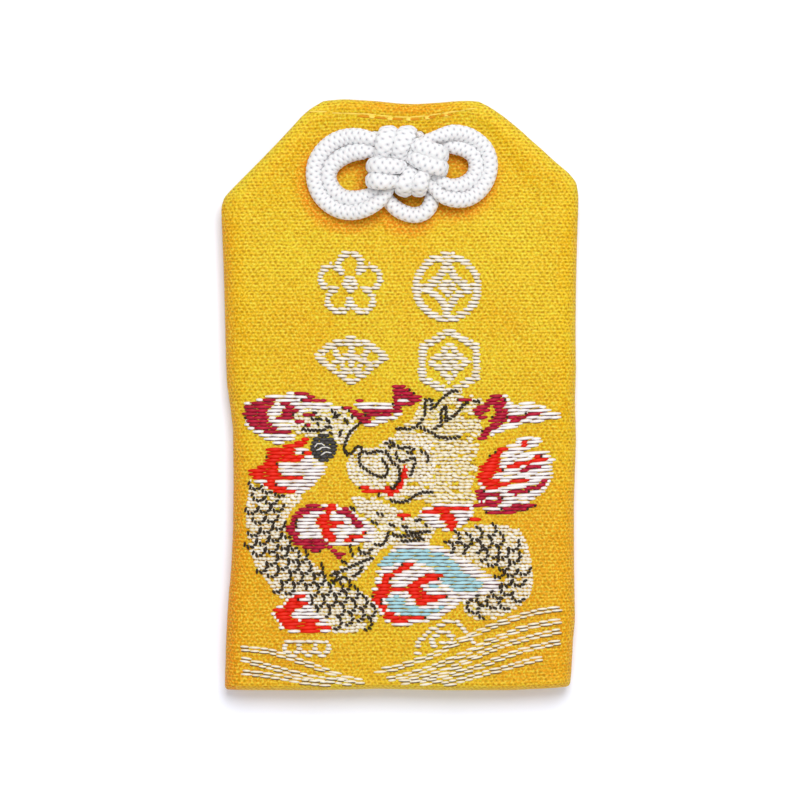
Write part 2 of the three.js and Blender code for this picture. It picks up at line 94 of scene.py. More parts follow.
# The pouch's outline, in the photograph's pixels
LEFT_EDGE_PX = (
    (224.5, 690), (225, 676), (225.5, 660), (226, 640), (227.5, 612), (229, 590), (231, 570), (233, 530),
    (233.5, 480), (233, 430), (230.5, 408), (227, 385), (226, 362), (225, 320), (223.5, 265), (222, 225),
    (221.5, 208), (224.5, 198), (232, 190), (248, 174), (264, 158), (279.5, 142), (294.5, 126), (301.5, 118),
    (309, 111.5), (314, 108), (320, 105), (328, 102), (334, 99.5),
)
RIGHT_EDGE_PX = (
    (569.5, 690), (571, 676), (572, 660), (573, 640), (575, 620), (574, 560), (574, 500), (576, 440),
    (575, 400), (576, 370), (575.5, 330), (576, 290), (577, 240), (578, 208), (578, 196), (576, 183),
    (567.5, 173), (558, 165.5), (549.5, 158), (541, 150), (531.5, 142), (523, 134), (513.5, 126),
    (503.5, 118), (492, 110), (484, 105.5), (476, 102.5), (468, 100),
)
FOOT_PX = ((222, 689.5), (250, 690), (320, 690), (380, 688.5), (440, 690), (510, 690), (550, 688), (578, 686))
MOUTH_PX = (
    (318, 103), (326, 101.5), (344, 100), (376, 102), (400, 104.5), (416, 105), (440, 103.5), (456, 102),
    (470, 101.5), (482, 103),
)
HEM_PX = (
    (311, 110.5), (330, 112), (350, 113), (371, 114), (388, 116), (405, 117), (420, 116), (435, 114),
    (455, 111), (480, 107),
)

# Soft creases of the front: height and half width in millimetres, and a line in the photograph's pixels
CREASES = {
    "left_ridge": (0.32, 1.1, ((233, 200), (262, 171), (292, 139), (314, 116))),
    "left_valley": (-0.42, 1.5, ((256, 206), (288, 172), (305, 150), (313, 132), (340, 121))),
    "right_ridge": (0.28, 1.0, ((484, 113), (510, 133), (545, 163), (566, 188))),
    "right_valley": (-0.4, 1.4, ((462, 119), (487, 130), (500, 152), (520, 178), (540, 200))),
    "knot_pull": (-0.35, 2.4, ((375, 135), (425, 135))),
    "belly_left": (0.12, 4.0, ((262, 330), (266, 420), (262, 520))),
    "belly_right": (0.14, 4.5, ((540, 250), (545, 380), (538, 520))),
}

# The pouch's heights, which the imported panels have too
POUCH = {
    "foot": -39.8 * MM,
    "mouth": 39.8 * MM,
    "belly_thickness": 5.9 * MM,
    "mouth_thickness": 2.9 * MM,
    "mouth_lift": 2.643 * MM,
    "taper_foot": 13.8 * MM,
    "taper_mouth": 33.8 * MM,
    "crown": 0.4 * MM,
    "cloth": 0.6 * MM,
    "seam": 0.05 * MM,
    "corner": 0.6 * MM,
}
ROLL = {"left": 3.3 * MM, "right": 2.7 * MM, "foot": 1.1 * MM, "mouth": 1.4 * MM}
HEM = {"depth": 0.26 * MM, "spread": 0.28 * MM}
PUCKER = {"height": 0.07 * MM, "pitch": 3.1 * MM, "reach": 1.6 * MM, "drift_share": 1.7}
# Each ripple's height, its measures across and up, in mm, and its phase
RIPPLES = ((0.07, 17, 31, 0.4), (0.05, 11, -19, 1.9), (0.035, -7, 13, 3.1))

# The knot's middle, and its route in millimetres from there: right, up, out of the pouch, and fullness
KNOT = {"right": 0.95 * MM, "up": 31.7 * MM}
CORD_ROUTE = {
    "leg_from_right_hole": (
        (1.6, 3.2, 1.3, 0.8), (2.1, 2.2, 1.05, 0.7), (3.0, 1.1, 0.9, 0.7), (4.05, 0.6, 1.05, 0.7),
    ),
    "right_wrap_high": ((4.75, 0.55, 1.9, 0.75), (4.8, 0.6, 3.3, 0.85), (4.2, 0.75, 4.5, 0.9)),
    "right_band_high": ((2.9, 1.15, 4.85, 0.9), (1.6, 1.6, 4.6, 0.85), (0.6, 2.0, 3.65, 0.65)),
    "under_top_bands": ((-0.4, 2.25, 2.7, 0.55), (-1.8, 2.35, 2.5, 0.55), (-3.2, 2.35, 2.6, 0.6)),
    "left_ear_outer": (
        (-4.6, 2.75, 2.85, 0.85), (-6.4, 3.15, 2.3, 1.04), (-8.2, 3.15, 1.7, 1.06), (-9.9, 2.55, 1.4, 1.07),
        (-11.4, 1.3, 1.25, 1.06), (-12.4, -0.4, 1.2, 1.02), (-12.6, -2.2, 1.2, 1), (-12.05, -4.2, 1.2, 1),
        (-10.8, -5.8, 1.25, 1), (-9.0, -6.8, 1.4, 1), (-7.1, -7.0, 1.8, 1), (-5.2, -6.5, 2.5, 0.95),
        (-3.6, -5.5, 2.75, 0.85),
    ),
    "under_left_bands_inner": ((-2.6, -4.1, 2.6, 0.6), (-2.15, -2.8, 2.3, 0.5), (-1.75, -1.6, 2.3, 0.5)),
    "top_band_inner": (
        (-1.5, -0.5, 2.75, 0.5), (-1.25, 0.5, 3.9, 0.7), (-1.0, 1.3, 4.6, 0.85), (-0.75, 2.1, 4.75, 0.9),
    ),
    "top_wrap_inner": ((-0.25, 3.1, 4.4, 0.85), (0.05, 3.9, 3.1, 0.75), (0.1, 3.6, 1.7, 0.65)),
    "top_turn": (
        (-0.05, 2.6, 1.1, 0.6), (-0.6, 1.6, 1.05, 0.6), (-1.4, 1.2, 1.05, 0.6), (-2.2, 1.6, 1.05, 0.6),
        (-2.5, 2.6, 1.1, 0.6),
    ),
    "top_wrap_outer": ((-2.5, 3.6, 1.7, 0.65), (-2.5, 3.9, 3.1, 0.75), (-2.7, 3.1, 4.4, 0.85)),
    "top_band_outer": ((-3.0, 2.0, 4.75, 0.9), (-3.2, 1.1, 4.4, 0.8), (-3.4, 0, 3.3, 0.6)),
    "under_left_bands_outer": ((-3.4, -1.2, 2.5, 0.5), (-3.3, -2.6, 2.5, 0.5)),
    "left_ear_inner": (
        (-3.95, -3.95, 2.3, 0.55), (-5.7, -4.85, 1.85, 0.9), (-7.1, -5.15, 1.7, 1), (-8.7, -4.9, 1.4, 1),
        (-10.0, -3.8, 1.25, 1), (-10.6, -2.3, 1.2, 1), (-10.3, -0.95, 1.2, 1.06), (-9.2, 0.2, 1.3, 1.12),
        (-7.6, 0.95, 1.7, 1.12), (-6.0, 1.2, 2.2, 1.08), (-4.6, 1.1, 2.5, 0.65),
    ),
    "under_top_bands_low": ((-3.2, 0.8, 2.3, 0.5), (-1.8, 0.75, 2.2, 0.5), (-0.5, 0.65, 2.5, 0.5)),
    "right_band_low": ((0.4, 0.4, 3.5, 0.65), (1.3, -0.1, 4.6, 0.85), (2.6, -0.7, 4.85, 0.9)),
    "right_wrap_low": ((4.1, -1.05, 4.5, 0.9), (4.75, -1.1, 3.3, 0.85), (4.75, -1.25, 1.9, 0.75)),
    "behind_to_loop": ((4.4, -2.1, 1.1, 0.7), (3.9, -3.3, 1.05, 0.7), (3.45, -4.8, 1.05, 0.9)),
    "lower_loop": (
        (3.1, -6.1, 1.1, 1), (2.4, -6.95, 1.1, 1), (1.2, -7.35, 1.1, 1), (-0.1, -7.15, 1.1, 1),
        (-1.4, -6.5, 1.1, 1), (-2.4, -5.5, 1.05, 0.9),
    ),
    "behind_to_left_wrap": ((-3.2, -4.2, 1, 0.65), (-4.0, -3.3, 1, 0.65)),
    "left_wrap_low": ((-4.7, -2.9, 1.9, 0.7), (-4.8, -2.85, 3.3, 0.85), (-4.2, -2.95, 4.5, 0.9)),
    "left_band_low": ((-3.1, -3.1, 4.8, 0.9), (-2.3, -3.05, 4.5, 0.8), (-1.6, -2.9, 3.7, 0.65)),
    "under_bottom_bands": ((-0.8, -2.65, 2.7, 0.5), (0.6, -2.5, 2.4, 0.5), (2.2, -2.7, 2.4, 0.5)),
    "right_ear_outer": (
        (3.5, -3.75, 2.6, 0.65), (4.6, -4.85, 2.7, 0.85), (6.4, -5.35, 2.2, 1), (8.1, -5.2, 1.6, 1),
        (9.6, -4.3, 1.3, 1), (10.8, -2.6, 1.2, 1), (11.22, -0.5, 1.2, 1), (10.7, 1.4, 1.3, 1),
        (9.4, 2.75, 1.6, 1), (7.8, 3.5, 2.1, 1), (6.1, 3.65, 2.6, 1), (4.5, 3.2, 3.0, 0.9),
        (2.9, 2.65, 3.15, 0.7),
    ),
    "under_right_bands_inner": ((1.9, 2.1, 2.8, 0.55), (1.4, 1.3, 2.5, 0.5), (1.25, 0.4, 2.3, 0.5)),
    "bottom_band_inner": ((1.1, -0.5, 2.5, 0.5), (0.8, -1.5, 3.4, 0.6), (0.15, -2.5, 4.4, 0.8)),
    "bottom_wrap_inner": ((-0.35, -3.55, 4.4, 0.85), (-0.5, -4.3, 3.1, 0.75), (-0.4, -4.0, 1.7, 0.65)),
    "bottom_turn": (
        (-0.2, -3.1, 1.05, 0.6), (0.2, -2.5, 1, 0.6), (0.7, -2.3, 1, 0.6), (1.2, -2.5, 1, 0.6),
        (1.5, -3.1, 1.05, 0.6),
    ),
    "bottom_wrap_outer": ((1.5, -4.0, 1.7, 0.65), (1.45, -4.3, 3.1, 0.75), (1.65, -3.55, 4.4, 0.85)),
    "bottom_band_outer": ((2.0, -2.6, 4.5, 0.85), (2.5, -1.7, 3.6, 0.65), (2.8, -0.7, 2.7, 0.5)),
    "under_right_bands_outer": ((2.9, 0.4, 2.4, 0.5), (3.1, 1.4, 2.3, 0.5)),
    "right_ear_inner": (
        (3.9, 2.1, 1.75, 0.65), (5.0, 2.2, 1.6, 0.85), (6.3, 1.9, 1.5, 1), (7.8, 1.5, 1.4, 1),
        (9.0, 0.6, 1.3, 1), (9.38, -0.7, 1.25, 1), (9.0, -2.1, 1.3, 1), (7.85, -3.1, 1.6, 1),
        (6.3, -3.45, 2.1, 0.9), (4.9, -3.05, 2.45, 0.7),
    ),
    "under_bottom_bands_high": (
        (3.7, -2.15, 2.3, 0.5), (2.7, -1.5, 1.7, 0.5), (1.7, -1.1, 1.4, 0.5), (0.7, -1.05, 1.5, 0.5),
    ),
    "left_band_high": (
        (-0.15, -1.05, 2.3, 0.5), (-0.75, -1.1, 3.7, 0.6), (-1.35, -1.1, 4.6, 0.8),
        (-2.2, -1.05, 4.85, 0.9), (-3.2, -1.0, 4.85, 0.9),
    ),
    "left_wrap_high": ((-4.1, -0.95, 4.5, 0.9), (-4.7, -0.9, 3.3, 0.85), (-4.65, -0.8, 1.9, 0.75)),
    "leg_to_left_hole": ((-4.2, 0.2, 1.1, 0.7), (-4.3, 1.8, 1.05, 0.7), (-4.3, 3.2, 1.3, 0.8)),
}
# Where the braid is pressed flat: how much wider it is, and the way it widens, in degrees from +X
PRESSED_SHARES = {
    "top_band_inner": (1.32, -15), "top_wrap_inner": (1.5, 0), "top_wrap_outer": (1.5, 0),
    "top_band_outer": (1.32, -10), "right_wrap_high": (1.25, 90), "right_band_high": (1.2, 70),
    "right_band_low": (1.2, 75), "right_wrap_low": (1.25, 90), "left_wrap_low": (1.2, 90),
    "left_band_low": (1.15, 90), "left_band_high": (1.15, 90), "left_wrap_high": (1.2, 90),
    "bottom_band_inner": (1.15, -25), "bottom_wrap_inner": (1.35, -10), "bottom_wrap_outer": (1.35, -10),
    "bottom_band_outer": (1.15, -25),
}
LEG_HEIGHT = 1.3 * MM
LEAST_FULLNESS = 0.78
BIGHT = {
    "height": 1.443 * MM, "bend": 1.0 * MM, "fullness": 0.8, "bent_fullness": 0.9, "straight_share": 0.6,
}
BRAID = {
    "rings_apart": 0.1 * MM, "sides": 40, "relief": 0.2 * MM, "crossing": 0.07 * MM, "flat": 0.4,
    "settles_in": 4 * MM, "steep_weight": 1e-3, "tip_share": 0.02,
}
ROUTE_STEPS = 12


# The woven figure, in the photograph's pixels and in the order it is laid: a name, the thread, the width
# of a line, or nothing for a filled shape, and the points
FIGURE = (
    ("left_cloud", "white", 0, (
        (246, 402), (262, 399), (268, 393), (283, 394), (293, 390), (306, 391), (312, 397), (341, 406),
        (350, 411), (330, 411), (318, 409), (298, 412), (300, 420), (292, 425), (290, 433), (296, 437),
        (290, 441), (275, 443), (262, 438), (250, 430), (245, 424), (243, 414),
    )),
    ("left_cloud_curl", "crimson", 0, (
        (244, 406), (252, 402), (262, 401), (264, 399), (272, 400), (272, 404), (268, 408), (266, 414),
        (267, 421), (271, 427), (288, 431), (290, 434), (264, 432), (253, 429), (244, 418), (243, 412),
    )),
    ("left_cloud_hook", "crimson", 0, (
        (280, 402), (290, 402), (296, 407), (297, 413), (292, 418), (272, 421), (273, 417), (283, 414),
        (284, 408),
    )),
    ("left_cloud_streak", "crimson", 3, ((296, 393), (312, 396))),
    ("left_cloud_tail", "crimson", 0, ((296, 397), (322, 397), (328, 401), (305, 402))),
    ("top_strip", "white", 0, ((352, 402), (398, 402), (398, 408), (360, 409))),
    ("cloud_link", "crimson", 0, (
        (336, 404), (348, 404), (354, 409), (372, 419), (371, 423), (364, 424), (346, 409),
    )),
    ("link_band", "crimson", 0, ((358, 409), (380, 409), (400, 407), (401, 411), (390, 414), (369, 416))),
    ("link_dot", "crimson", 0, ((353, 400), (357, 397), (363, 397), (363, 401))),
    ("under_link", "white", 0, ((378, 417), (400, 413), (405, 415), (368, 427), (362, 427))),
    ("centre_cloud", "crimson", 0, (
        (392, 385), (401, 384), (414, 394), (423, 397), (420, 402), (402, 406), (398, 410), (402, 411),
        (398, 414), (395, 412),
    )),
    ("centre_cloud_light", "white", 0, ((399, 396), (410, 399), (405, 402), (398, 402))),
    ("neck", "cream", 0, (
        (296, 412), (318, 409), (345, 410), (356, 417), (360, 424), (352, 434), (346, 446), (338, 445),
        (335, 440), (330, 436), (316, 437), (298, 434), (292, 428), (294, 420),
    )),
    ("neck_mark_1", "black", 3, ((331, 410), (335.5, 413.5), (334, 418.5), (340.5, 413.5))),
    ("neck_mark_2", "black", 3, ((311, 419), (323, 419))),
    ("neck_mark_3", "black", 3, ((304, 430), (323, 430.5), (327, 427), (333, 427))),
    ("neck_mark_4", "crimson", 3, ((297, 422.5), (308, 423))),
    ("neck_mark_5", "crimson", 3, ((305, 413), (312, 414))),
    ("neck_edge", "black", 3, (
        (372, 411), (367, 414), (363, 420), (357, 426), (351, 431), (347, 438), (344, 449), (348, 454),
    )),
    ("mane", "mane", 0, (
        (412, 420), (420, 402), (425, 397), (432, 397), (436, 402), (448, 392), (456, 388), (462, 391),
        (464, 400), (470, 396), (480, 398), (486, 405), (480, 424), (484, 432), (478, 440), (470, 441),
        (480, 446), (476, 456), (478, 468), (470, 490), (482, 500), (470, 512), (440, 508), (420, 500),
        (412, 480), (404, 470), (398, 450), (392, 440), (398, 428),
    )),
    ("horn_left", "black", 3, ((425, 416), (425, 400), (432, 399), (431, 411))),
    ("horn_middle", "black", 3, ((434, 408), (440, 400), (452, 391), (459, 391))),
    ("horn_right", "black", 3, (
        (441, 427), (441, 412), (443, 408), (446, 406), (446, 421), (452, 417), (458, 412),
    )),
    ("horn_tip", "black", 3, ((458, 412), (463, 405), (468, 402), (476, 401), (481, 402))),
    ("horn_root", "black", 3, ((440, 425), (433, 430))),
    ("ear_line", "black", 3, ((418, 425), (424, 417))),
    ("brow", "black", 3.4, (
        (396, 429), (403, 428), (410, 429), (417, 426), (433, 433), (437, 437), (446, 438), (454, 438),
        (461, 436),
    )),
    ("forehead_flame", "crimson", 0, ((457, 400), (466, 397), (472, 398), (470, 402), (460, 403))),
    ("right_wing", "white", 0, (
        (496, 408), (497, 392), (508, 398), (514, 405), (524, 402), (536, 404), (556, 414), (558, 419),
        (524, 424), (510, 430), (490, 436), (486, 430), (508, 420),
    )),
    ("right_cloud", "crimson", 0, (
        (489, 400), (493, 394), (500, 393), (505, 407), (509, 413), (507, 419), (497, 428), (490, 431),
        (487, 437), (482, 441), (475, 441), (480, 436), (482, 431), (487, 427), (493, 415), (493, 408),
        (484, 404), (484, 401),
    )),
    ("right_cloud_hook", "crimson", 0, (
        (472, 410), (478, 406), (488, 405), (489, 410), (484, 414), (490, 417), (480, 420), (474, 414),
    )),
    ("wing_streak", "crimson", 0, ((510, 415), (520, 415), (549, 411), (528, 417), (512, 424), (508, 421))),
    ("right_flame_ground", "white", 0, (
        (520, 437), (538, 436), (540, 443), (528, 449), (545, 452), (555, 459), (548, 468), (552, 473),
        (548, 480), (545, 490), (530, 500), (510, 510), (490, 512), (478, 505), (480, 490), (478, 480),
        (490, 478), (497, 470), (500, 452),
    )),
    ("right_flame", "red", 0, (
        (537, 440), (522, 441), (520, 446), (504, 446), (498, 448), (483, 463), (479, 470), (478, 477),
        (480, 484), (484, 488), (497, 488), (510, 484), (527, 481), (528, 477), (500, 483), (494, 479),
        (494, 475), (500, 471), (520, 467), (530, 463), (544, 460), (545, 458), (514, 462), (513, 466),
        (500, 467), (496, 462), (504, 450), (524, 446), (528, 442), (537, 441),
    )),
    ("right_flame_dot", "red", 0, ((530, 458), (532, 455), (538, 454), (539, 457))),
    ("right_flame_line", "crimson", 3, ((522, 469), (540, 467))),
    ("right_flame_tongue", "crimson", 0, (
        (547, 477), (540, 482), (524, 488), (502, 492), (514, 495), (541, 488), (547, 483),
    )),
    ("right_flame_curl", "crimson", 0, (
        (475, 490), (482, 490), (486, 494), (498, 493), (502, 497), (499, 505), (494, 508), (486, 508),
        (476, 498),
    )),
    ("right_flame_curl_light", "white", 3, ((484, 500), (495, 499))),
    ("right_flame_curl_line", "crimson", 3, ((475, 504), (495, 506))),
    ("right_flame_foot", "crimson", 0, (
        (505, 507), (512, 504), (535, 505), (524, 510), (512, 512), (503, 509),
    )),
    ("right_flame_root", "crimson", 3, ((489, 513), (513, 514))),
    ("head", "cream", 0, (
        (350, 456), (358, 448), (376, 449), (384, 440), (410, 432), (424, 436), (434, 444), (438, 458),
        (434, 470), (436, 484), (428, 496), (410, 502), (396, 504), (372, 492), (356, 486), (348, 476),
        (346, 464),
    )),
    ("snout_mark", "black", 3, (
        (360, 452), (359, 460), (361, 466), (373, 474), (380, 477), (386, 476), (388, 470), (386, 464),
        (381, 458),
    )),
    ("snout", "black", 3.4, (
        (344, 450), (348, 455), (353, 452), (356, 447), (361, 446), (363, 452), (370, 453), (378, 451),
        (386, 452), (390, 457), (392, 462), (398, 466), (400, 472), (399, 480), (394, 487), (391, 494),
    )),
    ("nose", "black", 3, ((385, 443.5), (390, 441.5), (395, 444), (391.5, 447), (387, 447))),
    ("eye", "black", 3, ((397, 446), (402, 448.5), (408, 446.5), (413.5, 449.5), (411.5, 453), (405, 452))),
    ("eye_low", "black", 3, (
        (395.5, 452), (397.5, 459.5), (402, 462), (408, 460), (413, 457.5), (417, 460.5),
    )),
    ("cheek", "black", 3, ((415, 462.5), (413, 469), (410, 477))),
    ("eye_corner", "black", 3, ((420, 450.5), (426.5, 453.5), (428.5, 458), (427, 463.5))),
    ("jaw", "black", 3, ((390, 500), (397, 502), (404, 502), (410, 499), (417, 494), (424, 492), (434, 492))),
    ("mouth", "red", 0, (
        (404, 465), (407, 470), (406, 478), (394, 496), (391, 496), (393, 489), (399, 480), (401, 470),
    )),
    ("lip", "red", 0, (
        (358, 489), (364, 486), (378, 490), (386, 487), (394, 489), (398, 492), (390, 496), (382, 492),
        (374, 494), (366, 493),
    )),
    ("tooth_1", "black", 3, ((366, 490), (368, 495))),
    ("tooth_2", "black", 3, ((378, 493), (380, 497))),
    ("tooth_3", "black", 3, ((388, 491), (390, 496))),
    ("left_flame_ground", "white", 0, (
        (256, 466), (278, 462), (296, 448), (312, 450), (326, 468), (318, 478), (302, 494), (260, 492),
        (252, 480),
    )),
    ("left_flame", "red", 0, (
        (309, 438), (303, 438), (292, 445), (268, 447), (265, 451), (268, 457), (266, 462), (262, 466),
        (252, 467), (250, 472), (252, 477), (265, 478), (264, 483), (260, 487), (262, 491), (293, 492),
        (297, 491), (288, 488), (275, 487), (274, 480), (280, 478), (304, 478), (304, 476), (282, 474),
        (276, 468), (276, 463), (282, 461), (299, 460), (303, 456), (314, 453), (312, 450), (303, 452),
        (298, 455), (292, 455), (294, 450), (300, 445), (309, 441),
    )),
    ("left_flame_mark_1", "black", 2.6, ((296, 471), (314, 469))),
    ("left_flame_mark_2", "black", 2.6, ((281, 483), (288, 485))),
    ("left_flame_mark_3", "black", 2.6, ((293, 485), (300, 483))),
    ("pearl", "slate", 0, (
        (323, 434), (330, 435.5), (334.5, 440), (336.5, 447), (334.5, 454), (330, 459), (323, 461),
        (316, 459), (311.5, 454), (310, 447), (311.5, 440), (316, 435.5),
    )),
    ("pearl_glint", "glint", 1.2, ((315, 446), (319, 443.5), (323, 444.5), (325, 446))),
    ("pearl_glint_middle", "glint", 1.2, ((318, 450), (322, 447.5), (327, 447), (330, 448.5))),
    ("pearl_glint_low", "glint", 1.2, ((322, 454.5), (326, 452), (331, 452.5))),
    ("body", "cream", 0, (
        (250, 480), (275, 492), (300, 492), (302, 500), (292, 508), (286, 520), (286, 536), (292, 546),
        (312, 562), (322, 572), (330, 585), (358, 590), (368, 596), (376, 606), (378, 620), (365, 630),
        (345, 634), (325, 630), (308, 618), (292, 603), (277, 595), (255, 565), (249, 550), (246, 530),
        (246, 505),
    )),
    ("chest", "cream", 0, (
        (350, 496), (372, 496), (410, 516), (430, 520), (436, 530), (430, 540), (410, 545), (395, 544),
        (380, 550), (366, 570), (356, 580), (340, 584), (330, 572), (345, 566), (362, 549), (366, 538),
        (380, 530), (372, 520), (358, 512),
    )),
    ("coil", "cream", 0, (
        (440, 560), (446, 545), (455, 533), (470, 527), (490, 523), (505, 525), (520, 530), (527, 542),
        (531, 560), (533, 580), (530, 595), (520, 605), (508, 612), (495, 618), (478, 620), (464, 612),
        (462, 600), (470, 592), (485, 590), (500, 590), (505, 580), (503, 568), (490, 566), (460, 570),
        (448, 570),
    )),
    ("ring_ground", "white", 0, (
        (296, 514), (306, 508), (330, 504), (348, 507), (378, 531), (376, 540), (350, 545), (326, 545),
        (302, 541), (294, 532),
    )),
    ("ring", "crimson", 0, (
        (316, 504), (306, 505), (298, 510), (292, 516), (286, 528), (295, 546), (305, 548), (312, 554),
        (318, 554), (321, 548), (328, 546), (322, 540), (300, 539), (296, 532), (296, 524), (299, 518),
        (304, 513), (324, 509), (318, 508),
    )),
    ("ring_right", "crimson", 0, (
        (336, 512), (342, 507), (347, 506), (354, 517), (362, 524), (360, 527), (353, 526), (351, 520),
        (346, 516), (338, 515),
    )),
    ("ring_flame", "red", 0, (
        (328, 504), (336, 505), (334, 509), (328, 513), (327, 521), (334, 522), (346, 520), (344, 523),
        (330, 529), (336, 540), (330, 541), (324, 538), (321, 531), (314, 522), (318, 517), (324, 514),
        (325, 508),
    )),
    ("ring_flame_streak", "red", 0, ((345, 538), (364, 532), (362, 536), (355, 540), (350, 542), (344, 540))),
    ("ring_tail", "crimson", 0, (
        (326, 543), (331, 549), (340, 552), (345, 556), (340, 559), (334, 556), (328, 550),
    )),
    ("bit_left", "red", 0, (
        (396, 516), (404, 513), (408, 515), (404, 523), (414, 525), (406, 524), (400, 519),
    )),
    ("bit_right_ground", "white", 0, (
        (414, 514), (430, 505), (474, 504), (466, 524), (450, 532), (428, 526),
    )),
    ("bit_right", "red", 0, (
        (420, 512), (428, 509), (436, 508), (470, 508), (460, 511), (450, 512), (456, 520), (462, 521),
        (452, 524), (456, 527), (450, 530), (436, 514), (424, 513),
    )),
    ("bit_line", "red", 2.6, ((469, 520), (477, 520))),
    ("small_flame_ground", "white", 0, (
        (268, 612), (284, 604), (292, 592), (310, 591), (312, 606), (324, 618), (332, 631), (300, 634),
        (282, 630),
    )),
    ("small_flame", "red", 0, (
        (271, 610), (280, 609), (290, 599), (294, 598), (296, 594), (308, 593), (306, 597), (298, 599),
        (299, 603), (310, 601), (308, 605), (296, 608), (293, 612), (292, 617), (296, 621), (322, 620),
        (312, 626), (332, 628), (330, 631), (300, 632), (290, 630), (284, 628), (276, 617),
    )),
    ("centre_flame_ground", "white", 0, (
        (372, 600), (374, 585), (378, 570), (392, 548), (405, 543), (425, 543), (445, 548), (500, 580),
        (498, 590), (460, 600), (440, 618), (405, 626), (388, 624), (378, 614),
    )),
    ("centre_flame_blue", "blue", 0, (
        (378, 565), (384, 558), (392, 553), (405, 548), (420, 549), (440, 553), (450, 558), (470, 576),
        (482, 583), (478, 590), (462, 592), (450, 588), (440, 580), (430, 566), (415, 560), (400, 562),
        (390, 566),
    )),
    ("centre_flame_blue_low", "blue", 0, (
        (386, 600), (396, 594), (404, 600), (408, 606), (430, 608), (444, 606), (440, 612), (420, 615),
        (400, 614), (390, 610),
    )),
    ("centre_flame_blue_dot", "blue", 0, ((424, 586), (438, 585), (436, 589), (426, 589))),
    ("centre_flame", "red", 0, (
        (405, 565), (390, 573), (382, 575), (376, 590), (372, 596), (371, 599), (378, 606), (385, 620),
        (395, 622), (428, 618), (400, 614), (398, 615), (388, 612), (382, 603), (384, 598), (390, 592),
        (408, 592), (410, 588), (392, 588), (388, 583), (392, 577), (408, 568),
    )),
    ("centre_flame_inner", "red", 0, (
        (424, 574), (445, 573), (438, 577), (436, 580), (418, 584), (418, 588), (430, 596), (446, 594),
        (442, 599), (425, 604), (415, 604), (411, 598), (408, 584), (420, 577),
    )),
    ("centre_flame_spark", "red", 3, ((402, 566), (411, 564))),
)
# The waves below the figure, and the ornaments in silver thread over them
WAVES = (
    (
        (238, 648), (250, 649), (270, 651), (285, 656), (300, 661), (315, 666), (330, 672), (345, 678),
        (360, 681),
    ),
    ((240, 658), (255, 663), (275, 668), (290, 672), (310, 677), (330, 680), (350, 683)),
    ((240, 672), (260, 674), (280, 677), (300, 681), (330, 684)),
    (
        (563, 608), (540, 611), (520, 616), (500, 623), (485, 629), (470, 636), (455, 643), (440, 652),
        (425, 658), (410, 663), (395, 668), (380, 670),
    ),
    (
        (563, 620), (540, 624), (520, 629), (500, 637), (485, 643), (470, 651), (450, 660), (430, 668),
        (410, 674), (390, 679),
    ),
    (
        (563, 630), (540, 635), (520, 640), (500, 646), (480, 654), (465, 662), (445, 671), (425, 677),
        (405, 682),
    ),
    ((563, 641), (540, 646), (520, 651), (500, 658), (480, 666), (460, 672), (440, 679), (420, 684)),
    ((545, 657), (525, 662), (505, 668), (485, 673), (465, 679), (445, 684)),
)
FOAM = (
    ((418, 642), (430, 630), (445, 622), (458, 622), (468, 634), (474, 642)),
    ((434, 646), (431, 638), (440, 631), (452, 634), (452, 642), (441, 643)),
    ((417, 644), (420, 644)), ((416, 653), (419, 653)), ((297, 643), (318, 643)),
    ((303, 652), (308, 657), (313, 652)),
)
# How the waves are laid, in pixels: lines beside each one, its floats, how far they tilt, and the dark floats
# below them, a painted shadow under the floats
WAVE = {
    "lines": (-1.9, 1.6), "shortest": 7, "longest": 13, "gap": 0.9, "tilt_share": 0.45, "shadow": 0.42,
    "shaded": 0.65, "ring_width": 4.6,
}
FOAM_RINGS = ((292, 648), (322, 648))
FOAM_RADIUS = 7
# Scaled stretches of the figure: the middle line, and half the width at each of its points
SCALED = (
    {
        "line": (
            (268, 486), (264, 500), (266, 525), (272, 548), (288, 570), (310, 588), (335, 602), (360, 608),
            (374, 612),
        ),
        "half_width": (14, 17, 19, 21, 24, 24, 21, 18, 12),
    },
    {
        "line": (
            (447, 548), (462, 540), (480, 540), (498, 546), (510, 562), (512, 580), (502, 597), (485, 605),
            (470, 606),
        ),
        "half_width": (9, 12, 14, 16, 17, 17, 14, 12, 8),
    },
)
SCALE_NET = {
    "pitch": 13.0, "rows_apart": 0.78, "radius": 6.8, "reach": 92, "points": 7, "width": 2.2,
    "thread": "black",
}
# Short dark lines over the scales and the chest
MARKS = (
    ((336, 540), (344, 540), (347, 545)), ((350, 544), (351, 551), (354, 557)),
    ((358, 547), (361, 553), (369, 553), (372, 547)), ((374, 544), (382, 545), (386, 540), (389, 530)),
    ((330, 576), (338, 572), (346, 569), (356, 564), (366, 560), (374, 557)),
    ((331, 581), (339, 579), (346, 576)),
    ((341, 561), (348, 563)), ((362, 566), (360, 572), (352, 577)), ((389, 524), (396, 526)),
    ((405, 531), (416, 533), (431, 531)), ((415, 521), (424, 518), (428, 522)),
    ((392, 534), (399, 536), (411, 535), (422, 537)), ((401, 541), (414, 540), (425, 539)),
    ((425, 525), (431, 526)), ((402, 526), (409, 527)), ((350, 507), (356, 510)), ((376, 513), (385, 515)),
    ((371, 521), (379, 524)),
    ((316, 423), (321, 425)), ((303, 427), (303, 432)), ((329, 433), (334, 433)), ((341, 430), (340, 437)),
    ((326, 419), (331, 423)), ((344, 419), (349, 424)), ((311, 414), (317, 412)), ((351, 415), (354, 419)),
)
MARK_WIDTH = 3
ORNAMENTS = {
    "plum_blossom": (350, 284), "seven_treasures": (447, 287), "folding_fan": (351, 361),
    "tortoiseshell": (449, 362),
}
ORNAMENT = {"radius": 31.0, "width": 7.6, "fine_width": 6.2}
